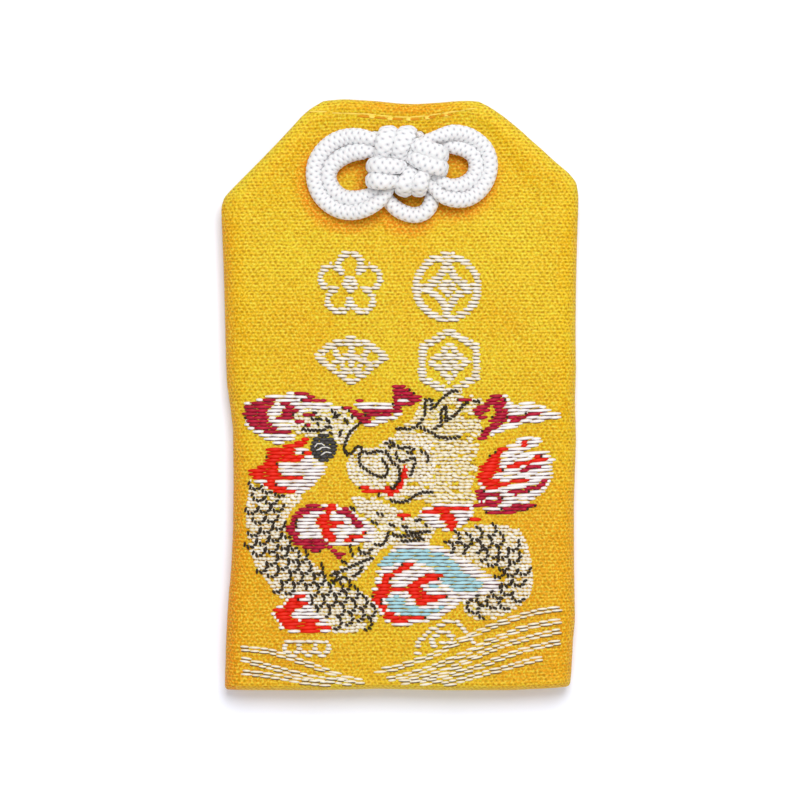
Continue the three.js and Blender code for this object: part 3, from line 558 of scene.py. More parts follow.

# Each thread: its colour, its shade, and its width and height as shares of the figure's own. Where it is laid
# in rows, its shortest and longest float, the gap after it, in pixels, and the share of floats left out.
# Last, the dark fine thread laid half a row below it, partly a thread that binds it and partly a painted
# shadow under its floats.
THREADS = {
    "silver": ((255, 249, 238), (234, 219, 192), (1.02, 1.05), (7, 14, 0.2, 0.0), "umber"),
    "foam": ((255, 248, 228), (240, 222, 182), (0.78, 0.8), None, None),
    "cream": ((255, 250, 238), (232, 216, 180), (1.06, 1.0), (2.8, 6.5, 0.1, 0.04), "olive"),
    "mane": ((255, 248, 228), (232, 214, 162), (0.98, 0.95), (3.4, 8, 0.2, 0.06), "olive"),
    "white": ((255, 252, 250), (246, 236, 234), (1.06, 1.0), (9, 24, -1.2, 0), "wine"),
    "red": ((240, 34, 4), (220, 22, 6), (1.32, 1.0), (9, 24, -1.4, 0), None),
    "crimson": ((196, 18, 58), (150, 8, 36), (1.16, 1.0), (7, 18, -1.2, 0), "wine"),
    "black": ((50, 36, 18), (24, 16, 8), (0.88, 1.2), None, None),
    "glint": ((246, 242, 236), (214, 210, 206), (0.42, 0.8), None, None),
    "blue": ((180, 226, 236), (158, 206, 216), (1.1, 1.0), (8, 18, -0.8, 0), "umber"),
    "slate": ((72, 68, 68), (40, 38, 38), (1.3, 1.1), (4, 8, -0.8, 0), None),
    "wine": ((104, 32, 46), (78, 22, 34), (0.34, 0.5), (6, 14, 1.0, 0.12), None),
    "umber": ((112, 84, 46), (84, 60, 34), (0.3, 0.5), (5, 12, 0.8, 0.1), None),
    "olive": ((158, 116, 30), (112, 78, 20), (0.36, 0.5), (2.4, 5, 1.2, 0.45), None),
}
# Where two dense threads meet in a row, their ends are ragged, and silver's by a share of that
RAGGED = {
    "threads": ("white", "crimson", "red", "blue", "silver"), "plain": ("", "cream"), "reach": 2.2,
    "silver": 0.45,
}
ROW_TILT = {"degrees": 4.5, "middle": (525, 440), "spread": 70}
LEAN = {"silver": -4, "cream": -7, "mane": -8}  # in degrees
# Lines that are sewn bead by bead and not laid in the rows: spacing and length in pixels, lean in degrees
BEADS = {
    "black": {"spacing": 4.0, "length": 4.5, "lean": -38},
    "glint": {"spacing": 3.4, "length": 4.6, "lean": 0},
}
BEAD_WOBBLE = {"degrees": 7, "lengths": (0.85, 1.1)}
RISE = {"black": 0.6, "glint": 0.9}  # of a float's height, where it lies over others
LOOSE = {
    "cream": (9, 0.6), "mane": (8, 0.6), "black": (8, 0.3), "umber": (3, 0.3), "olive": (8, 0.6),
    "silver": (2, 0.25),
}
FIRM = (1.3, 0.25)  # how far a float turns, in degrees, and shifts, in pixels

# Small sums

TINY = 1e-9  # keeps a sum from dividing by nothing


def mix(a, b, share):
    return a + (b - a) * share


def smooth_share(low, high, value):
    share = np.clip((value - low) / (high - low), 0, 1)
    return share * share * (3 - 2 * share)


def bell(distance, spread):
    return np.exp(-((distance / spread) ** 2))


def travelled_along(line):
    """How far along a line each of its points lies."""
    return np.concatenate([[0], np.cumsum(np.linalg.norm(np.diff(line, axis=0), axis=1))])


def place_at(line, travelled, where):
    return np.array([np.interp(where, travelled, column) for column in line.T])


def distance_to_line(x, y, line):
    least = np.full(np.shape(x), np.inf)
    for (ax, ay), (bx, by) in zip(line[:-1], line[1:]):
        length = (bx - ax) ** 2 + (by - ay) ** 2
        share = np.clip(((x - ax) * (bx - ax) + (y - ay) * (by - ay)) / length, 0, 1)
        least = np.minimum(least, np.hypot(x - mix(ax, bx, share), y - mix(ay, by, share)))
    return least


def smooth_table(along, across, step, window):
    """Evenly spaced values of a line through points, with its corners rounded over the window."""
    order = np.argsort(along)
    places = np.arange(along.min() - window, along.max() + window, step)
    values = np.interp(places, along[order], across[order])
    count = max(int(window / step) // 2 * 2 + 1, 1)
    padded = np.pad(values, count // 2, mode="edge")
    return places, np.convolve(padded, np.ones(count) / count, mode="valid")


# The pouch's surface

TABLE_STEP = 0.05 * MM
EDGE_WINDOW = 0.8 * MM
PROBE = 0.4 * MM
NORMAL_PROBE = 0.15 * MM


def outline_table(pixels, along, window):
    """A side of the outline as a table of X by Y, where along is 1, or the foot or mouth as one of Y by X."""
    places = from_photo(pixels, SEAM_HEIGHT)
    return smooth_table(places[:, along], places[:, 1 - along], TABLE_STEP, window)


LEFT_EDGE, RIGHT_EDGE = (outline_table(pixels, 1, EDGE_WINDOW) for pixels in (LEFT_EDGE_PX, RIGHT_EDGE_PX))
FOOT_LINE, MOUTH_LINE = (outline_table(pixels, 0, 2 * EDGE_WINDOW) for pixels in (FOOT_PX, MOUTH_PX))


def corner_inset(y):
    share = np.clip((y - POUCH["foot"]) / POUCH["corner"], 0, 1)
    return POUCH["corner"] * (1 - np.sqrt(1 - (1 - share) ** 2))


def left_edge(y):
    return np.interp(y, *LEFT_EDGE) + corner_inset(y)


def right_edge(y):
    return np.interp(y, *RIGHT_EDGE) - corner_inset(y)


def slant(edge, y):
    """How much longer a side is than its rise, at each height."""
    return np.hypot(1, (np.interp(y + PROBE, *edge) - np.interp(y - PROBE, *edge)) / (2 * PROBE))


def foot_line(x):
    return np.interp(x, *FOOT_LINE)


def mouth_line(x):
    return np.interp(x, *MOUTH_LINE)


def rolled(distance, roll):
    return np.sqrt(1 - (1 - np.clip(distance / roll, 0, 1)) ** 2)


def edge_distances(x, y):
    return {
        "left": (x - left_edge(y)) / slant(LEFT_EDGE, y),
        "right": (right_edge(y) - x) / slant(RIGHT_EDGE, y),
        "foot": y - foot_line(x),
        "mouth": mouth_line(x) - y,
    }


def taper(y):
    return smooth_share(POUCH["taper_foot"], POUCH["taper_mouth"], y)


def half_thickness(y):
    return mix(POUCH["belly_thickness"], POUCH["mouth_thickness"], taper(y)) / 2


def middle_height(y):
    return POUCH["mouth_lift"] * taper(y) + half_thickness(y)


def crown(x, y):
    left, right = left_edge(y), right_edge(y)
    across = np.clip(1 - ((x - (left + right) / 2) / (right - left) * 2) ** 2, 0, 1)
    middle = (POUCH["foot"] + POUCH["taper_foot"]) / 2
    along = np.clip(1 - ((y - middle) / (POUCH["mouth"] - middle)) ** 2, 0, 1)
    return POUCH["crown"] * across * along


def front_creases(x, y, distances):
    height = np.zeros(np.shape(x))
    for size, spread, line in CREASES.values():
        height += size * MM * bell(distance_to_line(x, y, from_photo(line)), spread * MM)
    for size, across, up, phase in RIPPLES:
        height += size * MM * np.sin(2 * np.pi * (x / (across * MM) + y / (up * MM)) + phase)
    nearest = np.minimum(distances["left"], distances["right"])
    drift = 2 * np.sin(y / (PUCKER["drift_share"] * PUCKER["pitch"]))
    wave = np.sin(2 * np.pi * y / PUCKER["pitch"] + drift)
    height += PUCKER["height"] * wave * bell(nearest - PUCKER["reach"], PUCKER["reach"])
    return height - HEM["depth"] * bell(distance_to_line(x, y, from_photo(HEM_PX)), HEM["spread"])


def rise_from_seam(x, y, distances, side):
    """How far a panel's outside stands from the seam's plane: side is 1 for the front and -1 for the back."""
    share = 1.0
    for edge, distance in distances.items():
        share = share * rolled(distance, ROLL[edge])
    height = half_thickness(y)
    if side > 0:
        height = height + crown(x, y) + front_creases(x, y, distances)
    return height * share


def front_height(x, y):
    x, y = np.asarray(x, float), np.asarray(y, float)
    return middle_height(y) + rise_from_seam(x, y, edge_distances(x, y), 1)


def front_normal(x, y):
    step = NORMAL_PROBE
    across = (front_height(x + step, y) - front_height(x - step, y)) / (2 * step)
    up = (front_height(x, y + step) - front_height(x, y - step)) / (2 * step)
    normal = np.stack([-across, -up, np.ones(np.shape(across))], axis=-1)
    return normal / np.linalg.norm(normal, axis=-1, keepdims=True)


# Meshes

def linked(name, data):
    """A new object in the scene."""
    made = bpy.data.objects.new(name, data)
    bpy.context.scene.collection.objects.link(made)
    return made


def new_mesh(name, vertices, edges, faces, point_values):
    mesh = bpy.data.meshes.new(name)
    mesh.from_pydata([tuple(v) for v in vertices], edges, [tuple(f) for f in faces])
    for key, values in point_values.items():
        values = np.asarray(values, np.float32)
        kind, field = ("FLOAT_VECTOR", "vector") if values.ndim == 2 else ("FLOAT", "value")
        mesh.attributes.new(key, kind, "POINT").data.foreach_set(field, values.ravel())
    return mesh


def new_object(name, vertices, faces, material, loop_uvs=None, point_values=None):
    mesh = new_mesh(name, vertices, [], faces, point_values or {})
    if loop_uvs is not None:
        layer = mesh.uv_layers.new(name="cloth")
        layer.data.foreach_set("uv", np.asarray(loop_uvs, np.float32).ravel())
    mesh.polygons.foreach_set("use_smooth", [True] * len(mesh.polygons))
    mesh.materials.append(material)
    mesh.update()
    return linked(name, mesh)


def evaluated_mesh(source):
    graph = bpy.context.evaluated_depsgraph_get()
    return bpy.data.meshes.new_from_object(source.evaluated_get(graph), depsgraph=graph)


def baked(source, name):
    """The source with its modifiers turned into a plain mesh, in a new object."""
    mesh = evaluated_mesh(source)
    mesh.name = name
    bpy.data.objects.remove(source)
    return linked(name, mesh)


# Node trees

class Wire:
    """The value at a node's output. Sums written with it in Python become maths nodes of its tree."""

    def __init__(self, node, output=0):
        self.tree, self.socket = node.id_data, node.outputs[output]

    def __add__(self, other):
        return maths("ADD", self, other)

    def __sub__(self, other):
        return maths("SUBTRACT", self, other)

    def __rsub__(self, other):
        return maths("SUBTRACT", other, self)

    def __mul__(self, other):
        return maths("MULTIPLY", self, other)

    def __truediv__(self, other):
        return maths("DIVIDE", self, other)

    def __rtruediv__(self, other):
        return maths("DIVIDE", other, self)

    def __pow__(self, other):
        return maths("POWER", self, other)


def add_node(tree, kind, inputs=None, **settings):
    made = tree.nodes.new(kind)
    for name, value in settings.items():
        setattr(made, name, value)
    for socket, value in (inputs or {}).items():
        if isinstance(value, Wire):
            tree.links.new(value.socket, made.inputs[socket])
        else:
            made.inputs[socket].default_value = value
    return made


def wired(tree, kind, inputs=None, output=0, **settings):
    return Wire(add_node(tree, kind, inputs, **settings), output)


def maths(operation, *values):
    tree = next(value.tree for value in values if isinstance(value, Wire))
    return wired(tree, "ShaderNodeMath", dict(enumerate(values)), operation=operation)


def vectors(operation, first, second):
    other = "Scale" if operation == "SCALE" else 1
    return wired(first.tree, "ShaderNodeVectorMath", {0: first, other: second}, operation=operation)


def noise(place, scale, detail, output="Fac", **inputs):
    inputs = {"Vector": place, "Scale": scale, "Detail": detail, **inputs}
    return wired(place.tree, "ShaderNodeTexNoise", inputs, output)


def share_between(value, low, high):
    return wired(value.tree, "ShaderNodeMapRange", {"Value": value, "From Min": low, "From Max": high})


MIX_SOCKETS = {"share": 0, "first": 6, "second": 7, "colour": 2}


def mixed_colour(share, first, second):
    """A mix of two colours. The node keeps its colour sockets after those for numbers and vectors."""
    inputs = {MIX_SOCKETS["share"]: share, MIX_SOCKETS["first"]: first, MIX_SOCKETS["second"]: second}
    return wired(share.tree, "ShaderNodeMix", inputs, MIX_SOCKETS["colour"], data_type="RGBA")


SOCKET_KINDS = {
    "Colour": "Color", "Map": "Vector", "Place": "Vector", "Geometry": "Geometry", "Points": "Geometry",
    "Path": "Geometry", "Material": "Material", "Sides": "Int", "Rings": "Int",
}


def new_group(name, kind, inputs, outputs):
    """A node group, from the names and defaults of its inputs: what it is given, and its end."""
    tree = bpy.data.node_groups.new(name, kind)
    for way, sockets in (("INPUT", inputs), ("OUTPUT", dict.fromkeys(outputs))):
        for socket, default in sockets.items():
            socket_type = "NodeSocket" + SOCKET_KINDS.get(socket.split()[-1], "Float")
            made = tree.interface.new_socket(socket, in_out=way, socket_type=socket_type)
            if default is not None:
                made.default_value = default
    given = tree.nodes.new("NodeGroupInput")
    return {socket: Wire(given, socket) for socket in inputs}, tree.nodes.new("NodeGroupOutput")


def end_group(result, **values):
    for socket, value in values.items():
        result.id_data.links.new(value.socket, result.inputs[socket])
    return result.id_data


def shader_effect(name, inputs):
    """A group that puts out a colour and a height."""
    return new_group(name, "ShaderNodeTree", inputs, ("Colour", "Height"))


def across_and_up(place):
    parts = add_node(place.tree, "ShaderNodeSeparateXYZ", {0: place})
    return Wire(parts, "X"), Wire(parts, "Y")


def linear(red, green, blue):
    """A colour as it is picked on screen, from 0 to 255, for a shader."""
    parts = [value / 255 for value in (red, green, blue)]
    return tuple(p / 12.92 if p <= 0.04045 else ((p + 0.055) / 1.055) ** 2.4 for p in parts)


def opaque(colour):
    return (*colour, 1)


UV_SPAN = 0.1  # metres of cloth or cord to one unit of its map
# The weave: a pit's half width and height as shares of a float and a row, how deep it is at least and by how
# much that varies, and between which values of the fine noise its specks and glints fade in
WEAVE = {
    "waver_scale": 420.0, "jitter": 0.14, "pit_width": 0.3, "pit_height": 0.34, "pit_least": 0.32,
    "pit_varies": 0.5, "thread_scale": 3400.0, "speck": (0.5, 0.66), "speck_share": 0.4, "glint": (0.5, 0.36),
    "glint_share": 0.7, "broad_scale": 75.0, "broad": (0.35, 0.65), "valley": 0.2, "pit_depth": 0.8,
    "thread_height": 0.5,
}


def woven_ground_group(name):
    """Rows of yellow floats with a small pit at each float's end, on the cloth's own map."""
    given, result = shader_effect(name, {
        "Map": None, "Row Pitch": 0.48 * MM, "Float Pitch": 0.7 * MM, "Row Shift": 0.39, "Waver": 0.4 * MM,
        "Light Colour": None, "Deep Colour": None, "Pit Colour": None, "Warm Colour": None,
        "Pale Colour": None, "Glint Colour": None, "Warmth": 0.0, "Paleness": 0.0,
    })
    metres = vectors("SCALE", given["Map"], UV_SPAN)
    waver = vectors("SUBTRACT", noise(metres, WEAVE["waver_scale"], 2.0, "Color"), (0.5, 0.5, 0.5))
    place = vectors("ADD", metres, vectors("SCALE", waver, given["Waver"]))
    across, up = across_and_up(place)
    row_place = up / given["Row Pitch"]
    row = maths("FLOOR", row_place)
    in_row = row_place - row - 0.5
    row_noise = wired(row.tree, "ShaderNodeTexWhiteNoise", {"W": row}, "Value", noise_dimensions="1D")
    stagger = row * given["Row Shift"] + row_noise * WEAVE["jitter"]
    float_place = across / given["Float Pitch"] + stagger
    float_number = maths("FLOOR", float_place)
    in_float = float_place - float_number - 0.5
    cell = wired(row.tree, "ShaderNodeCombineXYZ", {"X": float_number, "Y": row})
    cell_noise = wired(row.tree, "ShaderNodeTexWhiteNoise", {"Vector": cell}, "Value", noise_dimensions="2D")
    wide, tall = (in_float / WEAVE["pit_width"]) ** 2.0, (in_row / WEAVE["pit_height"]) ** 2.0
    strength = maths("MULTIPLY_ADD", cell_noise, WEAVE["pit_varies"], WEAVE["pit_least"])
    pit = maths("EXPONENT", (wide + tall) * -1.0) * strength
    valley = maths("EXPONENT", tall * -1.0)
    threads = noise(place, WEAVE["thread_scale"], 1.0)
    broad = share_between(noise(metres, WEAVE["broad_scale"], 3.0), *WEAVE["broad"])
    colour = mixed_colour(broad, given["Light Colour"], given["Deep Colour"])
    # Painted shade tints the weave deeper orange, and painted highlight paler yellow, by the panel's
    # attributes
    colour = mixed_colour(given["Warmth"], colour, given["Warm Colour"])
    colour = mixed_colour(given["Paleness"], colour, given["Pale Colour"])
    # Painted glints: lighter yellow where the fine noise is low, standing in for light caught by single
    # threads
    glint = share_between(threads, *WEAVE["glint"]) * WEAVE["glint_share"]
    colour = mixed_colour(glint, colour, given["Glint Colour"])
    # Partly the darker weave between floats and partly painted shade: the valleys between rows and the pits
    # darken towards the pit colour, with dark specks at random
    speck = share_between(threads, *WEAVE["speck"]) * WEAVE["speck_share"]
    shade = maths("MINIMUM", maths("MULTIPLY_ADD", valley, WEAVE["valley"], speck) + pit, 1.0)
    colour = mixed_colour(shade, colour, given["Pit Colour"])
    height = 1.0 - valley * WEAVE["valley"] - pit * WEAVE["pit_depth"] + threads * WEAVE["thread_height"]
    return end_group(result, Colour=colour, Height=height)


YARN = {"filament_height": 0.3, "gap_sharpness": 2.4}


def braided_yarn_group(name):
    """Filaments that follow whichever carrier of the braid is on top, on the cord's own map."""
    given, result = shader_effect(name, {
        "Map": None, "Carriers": 4.0, "Stitch Pitch": 0.85 * MM, "Filaments": 6.0, "Yarn Colour": None,
        "Gap Colour": None,
    })
    around, up = across_and_up(given["Map"])
    turn = around * given["Carriers"]
    along = up * UV_SPAN / given["Stitch Pitch"]
    lines = (along - turn, along + turn)
    numbers = [maths("ROUND", line) for line in lines]
    parity = maths("MODULO", maths("ABSOLUTE", numbers[0] + numbers[1]), 2.0)
    first_on_top = maths("LESS_THAN", parity, 0.5)
    on_top = first_on_top * lines[0] + (1.0 - first_on_top) * lines[1]
    filament = maths("SINE", on_top * given["Filaments"] * (2 * math.pi))
    off_line = [maths("ABSOLUTE", line - number) for line, number in zip(lines, numbers)]
    gap = (off_line[0] * 2.0) ** YARN["gap_sharpness"] * (off_line[1] * 2.0) ** YARN["gap_sharpness"]
    # Painted shade: the gaps between the crossings of the braid darken towards the gap shade colour
    colour = mixed_colour(gap, given["Yarn Colour"], given["Gap Colour"])
    return end_group(result, Colour=colour, Height=filament * YARN["filament_height"] - gap)


TWIST = {
    "stretch": (0.08, 1, 1), "blotch_scale": 900.0, "blotch": (0.45, 0.75), "blotch_share": 0.55,
    "shade_share": 0.45,
}


def twisted_thread_group(name):
    """Fine filaments along +X, for floats and stitches, on Object coordinates."""
    given, result = shader_effect(name, {
        "Place": None, "Filament Pitch": 0.05 * MM, "Thread Colour": None, "Shade Colour": None, "Shade": 0.0,
    })
    drawn_out = vectors("MULTIPLY", given["Place"], TWIST["stretch"])
    filaments = noise(drawn_out, 1.0 / given["Filament Pitch"], 2.0)
    blotches = share_between(noise(given["Place"], TWIST["blotch_scale"], 2.0), *TWIST["blotch"])
    share = maths("MULTIPLY_ADD", blotches, TWIST["blotch_share"], given["Shade"] * TWIST["shade_share"])
    colour = mixed_colour(share, given["Thread Colour"], given["Shade Colour"])
    return end_group(result, Colour=colour, Height=filaments)


# Streaks of a second colour: their size, their stretch along each axis, and how their noise is drawn
STREAKS = {
    "paper_fibre": {
        "size": 0.6 * MM, "stretch": (1, 1, 1), "detail": 6.0, "bent": 3.0, "fade": (0.5, 0.7),
    },
    "wood_grain": {
        "size": 0.9 * MM, "stretch": (1, 0.06, 1), "detail": 5.0, "bent": 0.6, "fade": (0.42, 0.66),
    },
}


def streaked_group(name):
    """The pale fibres of paper and card, or the darker grain of wood, on Object coordinates."""
    look = STREAKS[name]
    given, result = shader_effect(name, {
        "Place": None, "Streak Size": look["size"], "Base Colour": None, "Streak Colour": None,
    })
    place = vectors("MULTIPLY", given["Place"], look["stretch"])
    streaks = noise(place, 1.0 / given["Streak Size"], look["detail"], Distortion=look["bent"])
    colour = mixed_colour(share_between(streaks, *look["fade"]), given["Base Colour"], given["Streak Colour"])
    return end_group(result, Colour=colour, Height=streaks)


GROUP_MAKERS = {
    "woven_ground": woven_ground_group, "braided_yarn": braided_yarn_group,
    "twisted_thread": twisted_thread_group, "paper_fibre": streaked_group, "wood_grain": streaked_group,
}


def shader_group(name):
    return bpy.data.node_groups.get(name) or GROUP_MAKERS[name](name)


def finish_material(name, group, coordinates, inputs, bump, attributes=None, **surface):
    """A Principled material whose colour and bump come from one of the shared groups.

    The attributes are the piece's own, by the name of the group's input that each one feeds.
    """
    material = bpy.data.materials.get(name)
    if material:
        return material
    material = bpy.data.materials.new(name)
    material.use_nodes = True
    tree = material.node_tree
    shader = tree.nodes["Principled BSDF"]
    for socket, value in surface.items():
        shader.inputs[socket.replace("_", " ").title().replace("Ior", "IOR")].default_value = value
    feeds = {0: wired(tree, "ShaderNodeTexCoord", output=coordinates), **inputs}
    for socket, attribute in (attributes or {}).items():
        feeds[socket] = wired(tree, "ShaderNodeAttribute", output="Fac", attribute_name=attribute)
    effect = add_node(tree, "ShaderNodeGroup", feeds, node_tree=shader_group(group))
    bumps = {"Height": Wire(effect, "Height"), "Distance": bump, "Strength": 1.0}
    relief = add_node(tree, "ShaderNodeBump", bumps)
    tree.links.new(effect.outputs["Colour"], shader.inputs["Base Color"])
    tree.links.new(relief.outputs["Normal"], shader.inputs["Normal"])
    return material


# Settings that a user would change

def length(name, description, default):
    return bpy.props.FloatProperty(name=name, description=description, default=default, unit="LENGTH")


def tone(name, description, *screen_colour):
    return bpy.props.FloatVectorProperty(
        name=name, description=description, default=linear(*screen_colour), subtype="COLOR"
    )


def whole_number(name, description, default):
    return bpy.props.IntProperty(name=name, description=description, default=default)


def amount(name, description, default, unit="NONE"):
    return bpy.props.FloatProperty(name=name, description=description, default=default, unit=unit)


class CharmCordSettings(bpy.types.PropertyGroup):
    diameter: length("Diameter", "Across the loose braid", 2.1 * MM)
    stitch_pitch: length("Stitch Pitch", "Between two crossings of the braid, along the cord", 0.85 * MM)
    carriers: whole_number("Carriers", "Yarns that wind each way round the cord", 4)
    yarn_colour: tone("Yarn Colour", "The cord's white yarn", 247, 246, 247)
    # Painted shade in the hollows of the braid
    gap_colour: tone("Gap Colour", "In the gaps of the braid", 150, 150, 164)


class CharmClothSettings(bpy.types.PropertyGroup):
    row_pitch: length("Row Pitch", "Between two rows of the weave", 0.48 * MM)
    float_pitch: length("Float Pitch", "Between two pits along a row", 0.73 * MM)
    light_colour: tone("Light Colour", "The yellow silk where it is palest", 255, 213, 38)
    deep_colour: tone("Deep Colour", "The yellow silk where it is deepest", 252, 192, 12)
    pit_colour: tone("Pit Colour", "Between the floats", 192, 138, 0)
    # Painted shade: the deeper orange laid where shade falls on the brocade
    warm_colour: tone("Warm Colour", "The silk where it is least faded", 255, 144, 0)
    # Painted highlight: the paler yellow laid where light catches the brocade's shoulders and foot
    pale_colour: tone("Pale Colour", "The silk where it is worn and most faded", 255, 224, 62)
    # Painted glint: the lighter yellow of light caught by the threads
    glint_colour: tone("Glint Colour", "The silk where a thread stands proud", 255, 234, 82)


class CharmStitchSettings(bpy.types.PropertyGroup):
    pitch: length("Pitch", "From one stitch of the hem to the next", 2.1 * MM)
    length: length("Length", "Of a stitch that shows", 1.9 * MM)
    thickness: length("Thickness", "Of the sewing thread", 0.24 * MM)
    colour: tone("Colour", "The sewing thread", 255, 224, 98)


class CharmFigureSettings(bpy.types.PropertyGroup):
    row_pitch: length("Row Pitch", "Between two rows of the figure's floats", 0.475 * MM)
    thread_width: length("Thread Width", "Of a float, across it", 0.42 * MM)
    thread_height: length("Thread Height", "Of a float, out of the cloth", 0.3 * MM)
    seed: whole_number("Seed", "For where the floats end", 7)


class CharmStageSettings(bpy.types.PropertyGroup):
    key_power: amount("Key Power", "Of the soft light beyond the mouth", 1.29, "POWER")
    fill_power: amount("Fill Power", "Of the soft light below the foot", 0.24, "POWER")
    sky_strength: amount("Sky Strength", "Of the even light from all round", 0.47)
    floor_gain: amount("Floor Gain", "How much brighter the camera sees the floor", 1.02)


SETTINGS = {
    "charm_cord": CharmCordSettings,
    "charm_cloth": CharmClothSettings,
    "charm_stitches": CharmStitchSettings,
    "charm_figure": CharmFigureSettings,
    "charm_stage": CharmStageSettings,
}


# Materials

def from_settings(settings, *sockets):
    """A group's inputs, by name, from the settings of the same name."""
    values = {socket: getattr(settings, socket.lower().replace(" ", "_")) for socket in sockets}
    return {socket: opaque(value) if socket.endswith("Colour") else value for socket, value in values.items()}


def yellow_brocade():
    inputs = from_settings(
        bpy.context.scene.charm_cloth, "Row Pitch", "Float Pitch", "Light Colour", "Deep Colour",
        "Pit Colour", "Warm Colour", "Pale Colour", "Glint Colour",
    )
    return finish_material(
        "yellow_brocade", "woven_ground", "UV", inputs, 0.09 * MM,
        {"Warmth": "warmth", "Paleness": "paleness"},
        roughness=0.55, specular_ior_level=0.16,
        subsurface_weight=0.45, subsurface_radius=(1.0, 0.3, 0.05), subsurface_scale=2 * MM,
    )


def white_braid():
    inputs = from_settings(
        bpy.context.scene.charm_cord, "Carriers", "Stitch Pitch", "Yarn Colour", "Gap Colour"
    )
    return finish_material(
        "white_braid", "braided_yarn", "UV", inputs, 0.03 * MM,
        roughness=0.55, sheen_weight=0.1, specular_ior_level=0.3,
        subsurface_weight=0.25, subsurface_radius=(1.0, 0.8, 0.8), subsurface_scale=0.8 * MM,
    )


def thread_material(name, colour, shade):
    return finish_material(
        name, "twisted_thread", "Object",
        {"Thread Colour": opaque(colour), "Shade Colour": opaque(shade)}, 0.02 * MM, {"Shade": "shade"},
        roughness=0.42, specular_ior_level=0.22,
    )


def sewing_material(name, colour):
    return thread_material(name, colour, [SEWN_SHADE * part for part in colour])


# The cord

def cord_line(points):
    """A centripetal curve through the points, as rows of right, up, out and whatever else a point holds."""
    points = np.array(points, float)
    places = points[:, :3]
    ends = (2 * places[0] - places[1], 2 * places[-1] - places[-2])
    padded = np.vstack([ends[0], places, ends[1]])
    rows = []
    for k in range(len(points) - 1):
        p0, p1, p2, p3 = padded[k:k + 4]
        t0, t1, t2 = (math.sqrt(np.linalg.norm(b - a)) for a, b in ((p0, p1), (p1, p2), (p2, p3)))
        m1 = ((p1 - p0) / t0 - (p2 - p0) / (t0 + t1) + (p2 - p1) / t1) * t1
        m2 = ((p2 - p1) / t1 - (p3 - p1) / (t1 + t2) + (p3 - p2) / t2) * t1
        for step in range(ROUTE_STEPS):
            t = step / ROUTE_STEPS
            place = (
                (2 * t**3 - 3 * t**2 + 1) * p1 + (t**3 - 2 * t**2 + t) * m1
                + (3 * t**2 - 2 * t**3) * p2 + (t**3 - t**2) * m2
            )
            rows.append([*place, *mix(points[k, 3:], points[k + 1, 3:], t)])
    rows.append(list(points[-1]))
    return np.array(rows)


def evenly(rows, apart):
    """The same line with its rows the same distance apart."""
    travelled = travelled_along(rows[:, :3])
    count = max(int(round(travelled[-1] / apart)), 2)
    places = np.linspace(0, travelled[-1], count + 1)
    return places, np.stack(place_at(rows, travelled, places), axis=1)


def braid_relief(turns, along, cord):
    """How far the braid's surface stands out, from the turns round it and the place along it."""
    stitches, wound = along / cord.stitch_pitch, cord.carriers * turns
    lines = (stitches - wound, stitches + wound)
    numbers = [np.round(line) for line in lines]
    offsets = [line - number for line, number in zip(lines, numbers)]
    ribbons = [1 - np.abs(2 * offset) ** 3 for offset in offsets]
    over = np.where((numbers[0] + numbers[1]) % 2 == 0, 1.0, -1.0)
    crossing = over * np.cos(np.pi * offsets[0]) * np.cos(np.pi * offsets[1])
    heights = (
        BRAID["relief"] * ribbons[0] + BRAID["crossing"] * crossing,
        BRAID["relief"] * ribbons[1] - BRAID["crossing"] * crossing,
    )
    return np.maximum(*heights) - BRAID["relief"]


def braid_twist(along, across, upwards, cord):
    """Turns that keep a rib of the braid, and not a row of its gaps, on top wherever the cord lies flat."""
    half_step = 1 / (4 * cord.carriers)
    raw = half_step - np.arctan2(upwards[:, 2], across[:, 2]) / (2 * np.pi)
    flatness = 1 - np.abs(along[:, 2])
    turns = np.zeros(len(raw))
    last = raw[0]
    for k, value in enumerate(raw):
        value += np.round((last - value) / (2 * half_step)) * 2 * half_step
        turns[k] = value
        if flatness[k] > BRAID["flat"]:
            last = value
    window = np.hanning(int(BRAID["settles_in"] / BRAID["rings_apart"]))
    weights = np.where(flatness > BRAID["flat"], 1.0, BRAID["steep_weight"])
    return np.convolve(turns * weights, window, "same") / np.convolve(weights, window, "same")


def pressed(offsets, along, widening):
    """Each ring's points, pushed apart along its widening and pulled in across it."""
    widening = np.column_stack([widening, np.zeros(len(widening))])
    extra = np.linalg.norm(widening, axis=1)
    sideways = widening - along * np.sum(widening * along, axis=1)[:, None]
    sideways /= np.maximum(np.linalg.norm(sideways, axis=1), TINY)[:, None]
    through = np.cross(along, sideways)
    out = np.sum(offsets * sideways[:, None], axis=2)[:, :, None] * sideways[:, None] * extra[:, None, None]
    thinner = (1 - 1 / np.sqrt(1 + extra))[:, None, None]
    return offsets + out - np.sum(offsets * through[:, None], axis=2)[:, :, None] * through[:, None] * thinner


